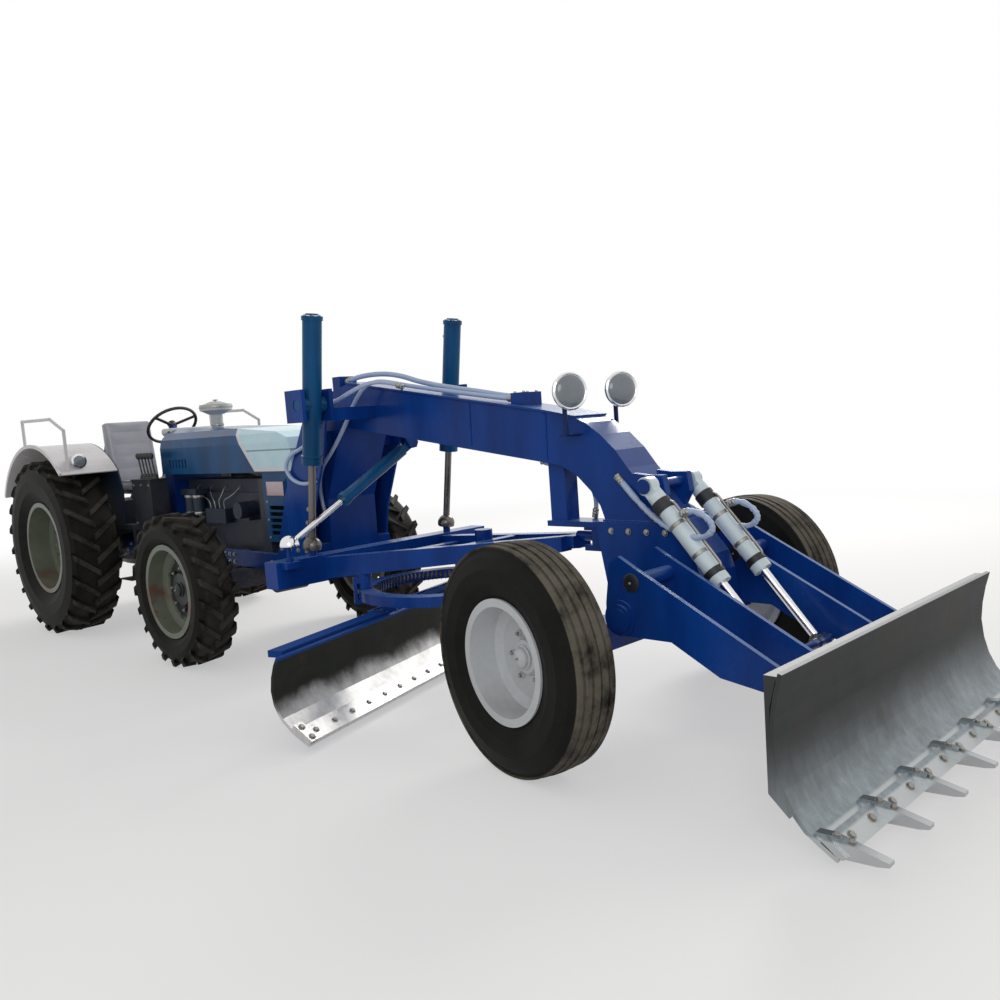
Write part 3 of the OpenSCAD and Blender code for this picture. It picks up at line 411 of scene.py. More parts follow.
casting = cast_metal("cast_iron_grey", (0.022, 0.028, 0.045), (0.008, 0.011, 0.02))
engine_iron = cast_metal("cast_iron_engine", (0.014, 0.024, 0.045), (0.006, 0.01, 0.02))
alloy = cast_metal("cast_alloy", (0.20, 0.21, 0.22), (0.09, 0.09, 0.1), 0.6, 0.42, 0.3)
black_steel = cast_metal("black_steel", (0.02, 0.022, 0.028), (0.008, 0.009, 0.012), 0.0, 0.5, 0.4)
oily_steel = cast_metal("oily_steel", (0.17, 0.155, 0.145), (0.08, 0.074, 0.07), 0.7, 0.34, 0.1)
checker = cast_metal("checker_plate", (0.026, 0.03, 0.04), (0.010, 0.012, 0.017), 0.1, 0.45, 0.5)
forward, left = (checker.point.axis(index) * 125 for index in (0, 1))
lozenge = (forward + left).sine() * (forward - left).sine()
checker.bump(abs(lozenge).step(0.55, 0.8) * checker.up.step(0.7, 0.9), 0.0015, 0.9)
print("finishes", len(bpy.data.materials))

# %% [markdown]
# ## Blade steel
# Both blades are bare plate. Soil polishes a blade from its cutting edge upward, so height alone splits
# the tones: a mirror band with streaks along the edge, mill scale and rust above. The moldboard's back
# was painted with the frame, so faces that look backwards get the blue. The front blade's cutting edge is
# scraped bright, and its upward-facing top strip is lighter as a painted highlight.

# %% Blade steel
RAIL_FOOT, DOZER_TOP, DOZER_EDGE = 0.449, 0.615, 0.112


def blade_steel(name, scale, sheen, low, high, back):
    """scale and sheen are the tones above and below; the border lies between the heights low and high."""
    finish = Finish(name, Metallic=0.85, Specular_IOR_Level=0.12)
    height = finish.point.axis(2)
    drawn = finish.point.scaled(1, 1, 0.06).noise(26, 6, 0.7)
    clouds = finish.point.noise(3.4, 5, 0.62)
    scars = finish.point.scaled(0.35, 0.35, 2.2).noise(24, 5, 0.72).step(0.6, 0.72)
    polished = (height + (clouds - 0.5) * 0.16).step(high, low)
    dull = clouds.tint(*scale)
    base = (polished * (0.75 + drawn * 0.4)).clip().tint(dull, drawn.tint(*sheen))
    rust = (clouds.step(0.50, 0.72) * (1 - polished) * 0.3 + scars * 0.12).clip()
    steel = rust.tint(base, (0.07, 0.045, 0.03))
    if back:
        rail = height.step(RAIL_FOOT, RAIL_FOOT + 0.003)
        behind = (finish.facing.dot(back).step(0.1, 0.35) + rail).clip()
    else:
        behind = rust * 0
        # The upward-facing top strip takes the bright tone as a painted highlight; the band below DOZER_EDGE
        # is the cutting edge, scraped bright.
        top = finish.up.step(0.6, 0.9) * height.step(DOZER_TOP - 0.005, DOZER_TOP)
        edge = (top + height.step(DOZER_EDGE, DOZER_EDGE - 0.008)).clip()
        steel = (edge * 0.8).tint(steel, (0.55, 0.56, 0.56))
    finish.set(Base_Color=behind.tint(steel, (0.006, 0.05, 0.24)),
               Roughness=(0.5 - polished * 0.22 + drawn * 0.14).clip(),
               Metallic=((0.1 + polished * 0.8) * (1 - behind)).clip())
    return finish.bump(drawn * 0.4 + scars * -0.4 + clouds * 0.3, 0.0008, 0.7)


BLADE_TURN = math.radians(18)
mold_steel = blade_steel("steel_moldboard", ((0.009, 0.011, 0.008), (0.036, 0.039, 0.033)),
                         ((0.45, 0.45, 0.44), (0.78, 0.77, 0.75)), 0.17, 0.27,
                         (-math.cos(BLADE_TURN), -math.sin(BLADE_TURN), 0))
dozer_steel = blade_steel("steel_front_blade", ((0.036, 0.037, 0.037), (0.070, 0.073, 0.073)),
                          ((0.17, 0.19, 0.20), (0.40, 0.45, 0.48)), 0.06, 0.42, None)


# %% Chrome, plastic, vinyl and glass
def plain(name, light, dark, rough=0.5, metal=0.0, grain=420, depth=0.0004, film=0.4, coat=0.0):
    finish = Finish(name, Metallic=metal, Coat_Weight=coat)
    clouds = finish.point.noise(9, 3)
    grime = dust(finish, film, film * 0.6, 1.3)
    finish.set(Base_Color=(grime * 0.6).tint(clouds.tint(dark, light), SOIL),
               Roughness=(rough + clouds * 0.08 + grime * 0.3).clip())
    return finish.bump(finish.point.noise(grain, 2), depth, 0.5)


chrome = plain("chrome", (0.80, 0.80, 0.81), (0.66, 0.67, 0.68), 0.1, 1.0, 120, 0.0002, 0.05)
zinc = plain("zinc_bolts", (0.42, 0.42, 0.40), (0.24, 0.23, 0.21), 0.34, 0.8, 300, 0.0004, 0.3)
black_plastic = plain("plastic_black", (0.03, 0.03, 0.032), (0.014, 0.014, 0.015))
pale_plastic = plain("plastic_pale", (0.62, 0.64, 0.62), (0.48, 0.50, 0.49), 0.4, film=0.2)
# The barrels' pale colour is in part a painted reflection of the sky on glossy blue.
pale_barrel_and_sheen = plain("paint_barrel_pale_and_sheen", (0.82, 0.92, 0.95), (0.62, 0.73, 0.77), 0.3, film=0.08, coat=0.2)
hose_cover = plain("hose_cover", (0.52, 0.62, 0.80), (0.36, 0.45, 0.64), 0.38, grain=900, film=0.15)
vinyl = plain("vinyl_seat", (0.50, 0.50, 0.56), (0.34, 0.34, 0.385), 0.42, 0.0, 650, 0.0005, 0.25)
piping = plain("vinyl_piping", (0.075, 0.075, 0.085), (0.045, 0.045, 0.05), 0.4, film=0.2)
lens = plain("lamp_lens", (0.24, 0.27, 0.30), (0.13, 0.15, 0.18), 0.08, 0.0, 60, 0.001, 0.05, 0.6)
rose_lens = plain("lamp_lens_rose", (0.66, 0.52, 0.53), (0.50, 0.38, 0.40), 0.12, film=0.05, coat=0.5)
red_lens = plain("lamp_lens_red", (0.36, 0.012, 0.01), (0.22, 0.006, 0.006), 0.12, film=0.1, coat=0.5)
dial = plain("dial_face", (0.03, 0.03, 0.032), (0.02, 0.02, 0.022), 0.3, film=0.05, coat=0.6)
print("finishes", len(bpy.data.materials))

# %% [markdown]
# ## Dress the frame
# Every node takes its finish from the slot that the record gives it, so a look-up table does the work. A
# second, shorter table names the nodes that differ from their slot. Each tyre gets a rubber of its own.

# %% Dress
BY_SLOT = {
    "blue_paint": blue, "dark_blue": teal_blue, "pale_paint": fender_finish, "dark_paint": black_steel,
    "casting": casting, "engine": engine_iron, "vinyl": vinyl,
    "black_plastic": black_plastic, "clear_plastic": pale_plastic, "lamp_metal": dark_blue,
    "rim_paint": shaded_cream, "rim_white": grey_rim, "chrome": chrome, "worn_steel": mold_steel,
    "hose": hose_cover,
}
BY_NODE = {
    "hood": hood_finish, "dozer_blade": dozer_steel, "platform": checker, "dozer_barrels": pale_barrel_and_sheen,
    "lift_rod_left": oily_steel, "lift_rod_right": oily_steel, "steering_rod": oily_steel,
    "lift_barrel_left": teal_blue, "lift_barrel_right": teal_blue,
    "wheel_front_left": dark_hub, "wheel_front_right": dark_hub,
}


def wear(node, finish):
    NODES[node].data.materials.clear()
    NODES[node].data.materials.append(finish.material)


for part in frame["record"]["subparts"]:
    if part["material_slot"] in BY_SLOT:
        wear(part["node"], BY_NODE.get(part["node"], BY_SLOT[part["material_slot"]]))
for body, (hub, axle) in WHEELS.items():
    tyre = [n for n in NODES if n.startswith("tyre") and NODES[n]["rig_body"] == body][0]
    outer = (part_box(tyre)[1].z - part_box(tyre)[0].z) / 2
    ribbed = "grader" in body
    groove, crown, side = (0.012, 0.85, 0.02) if ribbed else (0.03, 0.26, 0.04)
    wear(tyre, rubber("rubber_" + body, hub, axle, outer - groove, crown, side))
print("dressed", len(NODES))

# %% [markdown]
# ## A kit for small parts
# Most fittings are one of three shapes: something turned on a lathe, something bent from bar or hose, or
# a block with soft edges. `Kit` gathers such shapes in one mesh, so that a whole family of fittings
# becomes a single piece that rides on one body. Places are given as on the drawing of the machine: in
# millimetres, forward from the rear axle, left and up.

# %% Kit
REAR_AXLE_X = -3.145
SMOOTH_BELOW = math.radians(38)


def place(x, y, z):
    return Vector((x / 1000 + REAR_AXLE_X, y / 1000, z / 1000))


def located(at):
    """A place that is given in millimetres, or is a vector already."""
    return place(*at) if isinstance(at, tuple) else at


def band(inner, outer, start, end, soft=4):
    """The profile of a ring round a tube, with softened shoulders."""
    return [(inner, start), (outer, start + soft), (outer, end - soft), (inner, end)]


def nipple(base):
    """The profile of a grease nipple."""
    return [(5, base), (5, base + 6), (3, base + 8), (3, base + 13), (0, base + 14)]


def curve_through(points, bends):
    """Quadratic bends between the middles of a route's stretches, as on the CAD hoses but finer."""
    path = [points[0]]
    for i in range(1, len(points) - 1):
        start = (points[i - 1] + points[i]) / 2
        end = (points[i] + points[i + 1]) / 2
        for k in range(bends):
            t = k / bends
            path.append(start.lerp(points[i], t).lerp(points[i].lerp(end, t), t))
    return path + [(points[-2] + points[-1]) / 2, points[-1]]


class Kit:
    def __init__(self, name, body, *finishes):
        self.name, self.body, self.mesh = name, body, bmesh.new()
        self.materials = [finish.material for finish in finishes]

    def rings(self, rings, finish=0, collar=False):
        """Skins a row of rings of points; a ring of one point is a tip, and open ends are capped.
        A collar joins its last ring to its first instead, so that a rod can pass through."""
        made = [[self.mesh.verts.new(p) for p in ring] for ring in rings]
        faces = [] if collar else [ring for ring in (made[0][::-1], made[-1]) if len(ring) > 2]
        for a, b in zip(made, made[1:] + made[:1] if collar else made[1:]):
            for i in range(max(len(a), len(b))):
                corners = [a[i % len(a)], a[(i + 1) % len(a)], b[(i + 1) % len(b)], b[i % len(b)]]
                faces.append(list(dict.fromkeys(corners)))
        for corners in faces:
            face = self.mesh.faces.new(corners)
            face.material_index, face.smooth = finish, True

    def turned(self, profile, at, axis=UP, finish=0, steps=28, collar=False):
        """profile: (radius, height) pairs in millimetres along the axis from `at`."""
        turn = Vector(UP).rotation_difference(Vector(axis)).to_matrix()
        rings = []
        for radius, height in profile:
            count = steps if radius > 0.01 else 1
            angles = [math.tau * i / count for i in range(count)]
            spots = [Vector((radius * math.cos(a), radius * math.sin(a), height)) for a in angles]
            rings.append([located(at) + turn @ spot / 1000 for spot in spots])
        self.rings(rings, finish, collar)

    def bar(self, points, radius, finish=0, steps=12, bends=6, ripple=None):
        """A round bar along a route; ripple is (rise in mm, waves per metre) for bellows and coils."""
        path = [located(point) for point in points]
        if len(path) > 2:
            path = curve_through(path, bends)
        up = (path[1] - path[0]).orthogonal().normalized()
        rings, travelled = [], 0.0
        for i, spot in enumerate(path):
            along = (path[min(i + 1, len(path) - 1)] - path[max(i - 1, 0)]).normalized()
            up = (up - along * up.dot(along)).normalized()
            side = along.cross(up)
            travelled += (spot - path[i - 1]).length if i else 0
            r = radius + (ripple[0] * math.sin(math.tau * travelled * ripple[1]) if ripple else 0)
            angles = [math.tau * k / steps for k in range(steps)]
            rings.append([spot + (up * math.cos(a) + side * math.sin(a)) * r / 1000 for a in angles])
        self.rings(rings, finish)
        return path

    def block(self, low, high, soft=4, finish=0):
        """A box with rounded edges between two corners."""
        low, high = place(*low), place(*high)
        made = bmesh.ops.create_cube(self.mesh, size=1)["verts"]
        for vert in made:
            vert.co = Vector([low[i] + (vert.co[i] + 0.5) * (high[i] - low[i]) for i in range(3)])
        edges = list({edge for vert in made for edge in vert.link_edges})
        result = bmesh.ops.bevel(
            self.mesh, geom=edges, offset=soft / 1000, segments=3, profile=0.5, affect="EDGES")
        around = {face for vert in result["verts"] for face in vert.link_faces}
        for face in around.union(result["faces"]):
            face.material_index, face.smooth = finish, True

    def grow(self, tree, finish, route=None, **values):
        """Runs a Geometry Nodes tree on a host, takes what it grew as plain mesh and drops the host."""
        host_mesh = bpy.data.meshes.new("host")
        if route:
            host_mesh.from_pydata(route, [(i, i + 1) for i in range(len(route) - 1)], [])
        host = shown("host", host_mesh)
        modifier = host.modifiers.new("grow", "NODES")
        modifier.node_group = tree
        values["Finish"] = finish.material
        for socket in tree.interface.items_tree:
            if socket.in_out == "INPUT" and socket.name in values:
                modifier[socket.identifier] = values[socket.name]
        grown = evaluated(host)
        bpy.data.objects.remove(host)
        before = len(self.mesh.faces)
        self.mesh.from_mesh(grown)
        self.mesh.faces.ensure_lookup_table()
        if finish.material not in self.materials:
            self.materials.append(finish.material)
        for face in self.mesh.faces[before:]:
            face.material_index = self.materials.index(finish.material)

    def ride(self):
        bmesh.ops.recalc_face_normals(self.mesh, faces=self.mesh.faces)
        for edge in self.mesh.edges:
            edge.smooth = len(edge.link_faces) == 2 and edge.calc_face_angle(0) < SMOOTH_BELOW
        data = bpy.data.meshes.new(self.name)
        self.mesh.to_mesh(data)
        self.mesh.free()
        for material in self.materials:
            data.materials.append(material)
        made = shown(self.name, data)
        if self.body:
            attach(made, self.body)
        return made


print("kit ready, origin at", tuple(round(v, 3) for v in place(0, 0, 0)))

# %% [markdown]
# ## Bolts and welds grown by Geometry Nodes
# Bolts come in rows and rings, and a weld bead runs along a seam, so each is a small node tree with named
# inputs: where it starts, where it ends, how many, which way it faces. The tree is built here once, run
# many times with other values, and its result is taken as plain mesh.

# %% Node trees
class Grow:
    def __init__(self, name, **inputs):
        self.tree = bpy.data.node_groups.new(name, "GeometryNodeTree")
        for label, kind in inputs.items():
            self.tree.interface.new_socket(label, in_out="INPUT", socket_type="NodeSocket" + kind)
        self.tree.interface.new_socket("Geometry", in_out="OUTPUT", socket_type="NodeSocketGeometry")
        self.inputs = self.tree.nodes.new("NodeGroupInput").outputs
        self.end = self.tree.nodes.new("NodeGroupOutput").inputs[0]

    def add(self, kind, sockets, out=0, **settings):
        """`kind` is short for a GeometryNode's name, or the whole name of another node."""
        kind = kind if "Node" in kind else "GeometryNode" + kind
        return built(self.tree, kind, sockets, out, settings)

    def wire(self, socket):
        return Wire(self.tree, socket)

    def join(self, *shapes):
        made = self.tree.nodes.new("GeometryNodeJoinGeometry")
        for shape in shapes:
            self.tree.links.new(shape, made.inputs[0])
        return made.outputs[0]

    def moved(self, shape, z, x=0):
        return self.add("Transform", {"Geometry": shape, "Translation": (x, 0, z)})

    def aligned(self, axis, way):
        return self.add("FunctionNodeAlignRotationToVector", {"Vector": way}, axis=axis)

    def placed(self, points, shape, turn=(0, 0, 0)):
        return self.add("InstanceOnPoints", {"Points": points, "Instance": shape, "Rotation": turn,
                                             "Scale": self.inputs["Size"]})

    def tightened(self, points, shape, turn=(0, 0, 0)):
        """Places bolts, each turned about its own axis by chance, as a spanner leaves them."""
        spin = self.add("FunctionNodeRandomValue", {"Min": 0.0, "Max": 1.0, "Seed": self.inputs["Seed"]}, 1)
        about = self.add("FunctionNodeAxisAngleToRotation", {"Axis": UP, "Angle": spin})
        turned = self.add("FunctionNodeRotateRotation", {"Rotation": turn, "Rotate By": about},
                          rotation_space="LOCAL")
        return self.placed(points, shape, turned)

    def close(self, shape):
        plain_mesh = self.add("RealizeInstances", {0: shape})
        dressed = self.add("SetMaterial", {"Geometry": plain_mesh, "Material": self.inputs["Finish"]})
        self.tree.links.new(dressed, self.end)
        return self.tree


def bolt(grow):
    """A six-sided head with a chamfer on a washer, one unit from centre to corner."""
    washer = grow.add("MeshCylinder", {"Vertices": 12, "Radius": 1.35, "Depth": 0.2})
    head = grow.add("MeshCylinder", {"Vertices": 6, "Radius": 1.0, "Depth": 0.8})
    crown = grow.add("MeshCone", {"Vertices": 6, "Radius Top": 0.78, "Radius Bottom": 1.0, "Depth": 0.14})
    return grow.join(grow.moved(washer, 0.1), grow.moved(head, 0.5), grow.moved(crown, 0.9))


def tooth(grow):
    """A gear tooth that points along +X, one unit long."""
    cone = grow.add("MeshCone", {"Vertices": 4, "Radius Top": 0.45, "Radius Bottom": 0.95, "Depth": 1.0})
    return grow.add("Transform", {"Geometry": cone, "Rotation": (math.pi / 4, math.pi / 2, 0)})


def slat(grow):
    """A thin slat across the row, with a folded lip, one unit long in Y."""
    web = grow.add("MeshCube", {"Size": (0.035, 1.0, 0.004)})
    lip = grow.add("MeshCube", {"Size": (0.006, 1.0, 0.014)})
    return grow.join(web, grow.moved(lip, 0.005, 0.0175))


def row_tree(name, shape):
    grow = Grow(name, From="Vector", To="Vector", Count="Int", Facing="Vector", Size="Vector", Seed="Int",
                Finish="Material")
    points = grow.add("MeshLine", {"Count": grow.inputs["Count"], "Start Location": grow.inputs["From"],
                                   "Offset": grow.inputs["To"]}, mode="END_POINTS")
    if shape is bolt:
        return grow.close(grow.tightened(points, bolt(grow), grow.aligned("Z", grow.inputs["Facing"])))
    return grow.close(grow.placed(points, shape(grow)))


def ring_tree(name, shape):
    grow = Grow(name, Centre="Vector", Turn="Vector", Radius="Float", Count="Int", Size="Vector", Seed="Int",
                Finish="Material")
    circle = grow.add("MeshCircle", {"Vertices": grow.inputs["Count"], "Radius": grow.inputs["Radius"]})
    if shape is bolt:
        ring = grow.tightened(circle, bolt(grow))
    else:
        inward = grow.wire(grow.add("InputPosition", {})).scaled(-1, -1, -1)
        ring = grow.placed(circle, shape(grow), grow.aligned("X", inward))
    turn = grow.add("FunctionNodeEulerToRotation", {0: grow.inputs["Turn"]})
    return grow.close(grow.add("Transform", {"Geometry": ring, "Translation": grow.inputs["Centre"],
                                             "Rotation": turn}))


def weld_tree(spacing=0.006, ripple=1.9, swell=0.22):
    """A bead along the host's edges: short ripples, as a welder's hand leaves them."""
    grow = Grow("weld_bead", Host="Geometry", Size="Float", Finish="Material")
    curve = grow.add("MeshToCurve", {0: grow.inputs["Host"]})
    dense = grow.add("ResampleCurve", {"Curve": curve, "Length": spacing}, mode="LENGTH")
    wave = (grow.wire(grow.add("InputIndex", {})) * ripple).sine()
    wide = (wave * swell + 1) * grow.inputs["Size"]
    bead = grow.add("SetCurveRadius", {"Curve": dense, "Radius": wide})
    profile = grow.add("CurvePrimitiveCircle", {"Resolution": 6, "Radius": 1.0})
    return grow.close(grow.add("CurveToMesh", {"Curve": bead, "Profile Curve": profile, "Scale": wide,
                                               "Fill Caps": True}))


BOLT_ROW, BOLT_RING = row_tree("bolt_row", bolt), ring_tree("bolt_ring", bolt)
TEETH, SLATS, WELD = ring_tree("inner_teeth", tooth), row_tree("slats", slat), weld_tree()
print("trees", [group.name for group in bpy.data.node_groups])

# %% [markdown]
# ## Hoses and their ends
# The hydraulic hoses lie where the CAD routes put them, but there they have ten flat sides. Here the same
# routes are bent finer, and each end gets what a real hose has: a crimped sleeve and a hexagon nut.

# %% Hoses
HOSES = [
    (16, [(4737, 24, 1650), (4600, 12, 1668), (4420, 0, 1704), (4180, 0, 1742), (3912, 0, 1796),
          (3740, 0, 1848), (3570, -10, 1876), (3400, -36, 1876), (3310, -60, 1860), (3254, -66, 1846)]),
    (13, [(4737.4, -36, 1640), (4480, -60, 1680), (3920, -66, 1770), (3760, -90, 1806), (3690, -150, 1824),
          (3620, -204, 1800), (3500, -214, 1684), (3380, -214, 1540), (3216, -214, 1390), (3090, -214, 1292),
          (3052, -212, 1160), (3078, -203.5, 990)]),
    (13, [(3880, -112, 1770), (3790, -122, 1804), (3720, -230, 1818), (3620, -322, 1760), (3480, -334, 1708),
          (3290, -334, 1730), (3110, -320, 1746), (3106, -306, 1641.8)]),
    (13, [(3170, -327.6, 1480), (3075, -334, 1440), (2924, -334, 1400), (2850, -334, 1316),
          (2920, -334, 1236), (3060, -334, 1202), (3190, -327.6, 1228)]),
    (12, [(4790, 80, 1323.8), (4800, 84, 1276), (4920, 96, 1272), (5030, 96, 1240), (5130, 96, 1160),
          (5168, 84, 1070), (5168, 60, 988.4)]),
]


def hose(kit, points, radius, ripple=None):
    path = kit.bar(points, radius, 0, 14, 9, ripple)
    for end, inner in ((path[0], path[3]), (path[-1], path[-4])):
        axis = (inner - end).normalized()
        crimps = ((2, 18), (5, 20), (5, 30), (3, 33), (5, 36), (5, 46), (2, 50))
        kit.turned([(radius + rise, at) for rise, at in crimps], end, axis, 1, 16)
        kit.turned(band(radius + 3, radius + 6, 0, 18, 3), end, axis, 1, 6)


hoses = Kit("hydraulic_hoses", "tractor", hose_cover, zinc)
for radius, route in HOSES:
    hose(hoses, route, radius)
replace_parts(hoses.ride(), "hoses")

# Each blade cylinder has a hose in a coiled guard
LOOP = [(5469, 1224), (5614, 1095), (5728, 1021), (5840, 974), (5976, 939), (6058, 980), (6034, 1036),
        (5955, 1074), (5885, 1055)]
for side, name in ((-1, "right"), (1, "left")):
    loop = Kit("blade_hose_" + name, None, hose_cover, zinc)
    shift = [118 + (196 - 118) * min(1, i / 3) for i in range(len(LOOP))]
    hose(loop, [(x, side * y, z) for (x, z), y in zip(LOOP, shift)], 14, (2.0, 95))
    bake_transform(loop.ride(), "tractor", "dozer_barrels",
             place(5560, side * 180, 1130), place(5930, side * 180, 950))
print("hoses", len(HOSES) + 2)

# %% [markdown]
# ## The wheels' fittings
# On a real wheel the studs stand proud of their nuts, the hub is closed by a pressed cap with a grease
# nipple, and a valve stem leans out of the rim. One loop adds the nuts, the cap with its nipple and the
# valve stem to all six wheels: each wheel's place and axle come from its joint, and a short table gives
# the depth of its disc and its ring of nuts.

# %% Wheel fittings
# Columns: how far out the disc lies, nuts, radius of their circle, radius of the rim's seat, all in mm
DISC = {"rear": (-40, 8, 170, 357), "front": (-20, 8, 146, 299.5), "grader": (-62, 6, 108, 253.5)}


def aim(facing, first):
    """Euler angles that turn Z to `facing` and X as near to `first` as it can be."""
    z = Vector(facing).normalized()
    y = z.cross(Vector(first)).normalized()
    return Matrix((y.cross(z), y, z)).transposed().to_euler()


for body, (hub, axle) in WHEELS.items():
    outward = axle if axle.y * hub.y > 0 else -axle
    level = outward.cross(Vector(UP)).normalized()
    axle_end = body.split("_")[0]
    depth, nuts, ring, seat_r = DISC[axle_end]
    rim = {"grader": grey_rim, "front": dark_hub, "rear": shaded_cream}[axle_end]
    kit = Kit("fittings_" + body, body, zinc, rim, black_plastic)
    kit.grow(BOLT_RING, zinc, Centre=hub + outward * (depth + 29) / 1000, Turn=aim(outward, level),
             Radius=ring / 1000, Count=nuts, Size=(0.0085, 0.0085, 0.012), Seed=3)
    face = hub + outward * depth / 1000
    kit.turned([(52, 45), (54, 49), (46, 53), (43, 66), (30, 76), (0, 79)], face, outward, 1)
    kit.turned([(7, 77), (7, 82), (4, 84), (3, 90), (0, 91)], face, outward, 0, 10)
    lean = (level * -0.62 - Vector((0, 0, 0.78))).normalized()
    foot = hub + lean * (seat_r - 17) / 1000 + outward * (depth + 52) / 1000
    tip = hub + lean * (seat_r - 52) / 1000 + outward * (depth + 66) / 1000
    kit.turned([(9, 0), (8, 5), (5, 14), (4.5, 30), (4, 34)], foot, tip - foot, 2, 12)
    kit.turned([(5.5, 28), (6, 31), (6, 40), (4, 43), (0, 43.5)], foot, tip - foot, 0, 12)
    kit.ride()
print("wheel fittings", len(WHEELS))

# %% [markdown]
# ## Bolts along the frame and the blades
# One table lists the rows on the frame's sides and a second the few that differ: where a row starts and
# ends, how many bolts it has, which way they face and how big they are. The node tree makes them all, and
# the same tree bolts the cutting edges to the blades.

# %% Bolts
TURN = Matrix.Rotation(BLADE_TURN, 4, "Z")


def on_blade(x, y, z):
    spot = TURN @ Vector((x, y, z))
    return place(4000 + spot.x, spot.y, spot.z)


# Rows on the right side, repeated on the left. Columns: y, x and z of the start, x and z of the end, how
# many bolts, half the width of a head in mm
SIDE_ROWS = [
    (-314, 2690, 760, 2990, 760, 4, 13), (-314, 3010, 860, 3060, 1040, 3, 13),
    (-314, 3120, 1200, 3215, 1400, 3, 13), (-314, 3240, 1480, 3280, 1600, 2, 13),
    (-312, 200, 640, 260, 690, 2, 13), (-312, 1900, 636, 2030, 636, 3, 12),
    (-312, 1900, 690, 2030, 690, 3, 12), (-312, 2540, 660, 2640, 660, 2, 12),
    (-150, 5440, 620, 5880, 600, 5, 12), (-150, 5440, 955, 5760, 955, 4, 12),
    (-290, 2520, 830, 2520, 1080, 3, 8), (-290, 2870, 830, 2870, 1080, 3, 8),
]
# Columns: body, start, end, count, facing, half width of the head in mm, both sides
BOLTS = [("tractor", (x0, y, z0), (x1, y, z1), count, (0, -1, 0), size, True)
         for y, x0, z0, x1, z1, count, size in SIDE_ROWS]
BOLTS += [
    ("tractor", (360, -460, 872), (960, -460, 872), 6, UP, 8, True),
    ("tractor", (820, -474, 910), (1090, -474, 910), 3, (0, -1, 0), 8, False),
    ("tractor", (820, -474, 1215), (1090, -474, 1215), 3, (0, -1, 0), 8, False),
    ("tractor", (4752, -50, 1674), (4752, 50, 1674), 2, UP, 8, False),
    ("tractor", (4818, -50, 1674), (4818, 50, 1674), 2, UP, 8, False),
    ("drawbar", (4350, -84, 730), (4420, -84, 730), 2, (0, -1, 0), 10, True),
]
PLOUGH_BOLT, TINE_BOLT, TINE_PITCH = (0.014, 0.014, 0.009), (0.012, 0.012, 0.010), 330
BOLTED = ("tractor", "drawbar", "circle", "front_blade")
kits = {body: Kit("bolts_" + body, body, zinc) for body in BOLTED}


def bolt_row(body, start, end, count, facing, size, seed):
    kits[body].grow(BOLT_ROW, zinc, From=located(start), To=located(end), Count=count,
                    Facing=Vector(facing), Size=size, Seed=seed)


for body, start, end, count, facing, size, both in BOLTS:
    for side in (1, -1) if both else (1,):
        a, b, way = ((x, y * side, z) for x, y, z in (start, end, facing))
        bolt_row(body, a, b, count, way, (size / 1000,) * 3, count + size)
bolt_row("circle", on_blade(8, -1350, 89), on_blade(8, 1350, 89), 19, TURN @ Vector((0.53, 0, 0.848)),
         (0.013, 0.013, 0.009), 5)
for side in (-1, 1):
    bolt_row("circle", on_blade(-20, side * 1420, 122.5), on_blade(38, side * 1420, 81), 2,
             TURN @ Vector((0.58, 0, 0.815)), PLOUGH_BOLT, 6)
kits["circle"].grow(TEETH, oily_steel, Centre=place(4000, 0, 550), Turn=(0, 0, 0), Radius=0.4415, Count=96,
                    Size=(0.0075, 0.010, 0.040), Seed=1)
for gap in range(6):
    y = (gap - 2.5) * TINE_PITCH
    bolt_row("front_blade", (6981, y - 80, 94.5), (6981, y + 80, 94.5), 2, (0.61, 0, 0.79), PLOUGH_BOLT, gap)
for tine in range(7):
    y = (tine - 3) * TINE_PITCH
    bolt_row("front_blade", (6972, y, 122), (7022, y, 110.8), 2, (0.22, 0, 0.976), TINE_BOLT, tine)
for kit in kits.values():
    kit.ride()
print("bolt rows", len(BOLTS))

# %% [markdown]
# ## Weld beads
# The beam is folded from plate and welded shut. Where two plates meet there is a bead: down each side
# where the straight beam joins the bend, around its foot on the front box, and under the top flange.

# %% Welds
SEAMS = [
    [(5027, -120.5, 1552), (5020, -120.5, 1310)], [(4460, -120.5, 1640), (4452, -120.5, 1400)],
    [(5372, -121.5, 1002), (5766, -121.5, 1002)],
    [(3340, -121, 1826), (3520, -121, 1799), (5020, -121, 1560)],
    [(3122, -301, 1426), (3210, -301, 1426)],
]
welds = Kit("weld_beads", "tractor", blue)
for seam in SEAMS:
    for side in (1, -1):
        welds.grow(WELD, blue, [place(x, y * side, z) for x, y, z in seam], Size=0.0055)
welds.ride()
print("welds", len(SEAMS))

# %% [markdown]
# ## Lamps
# Two work lamps stand on the bend, turned towards the working side: a dark bowl, a bright rim and a
# domed pressed glass. The fender lamps are the same, smaller, and the lamps in the grille shell are flat.

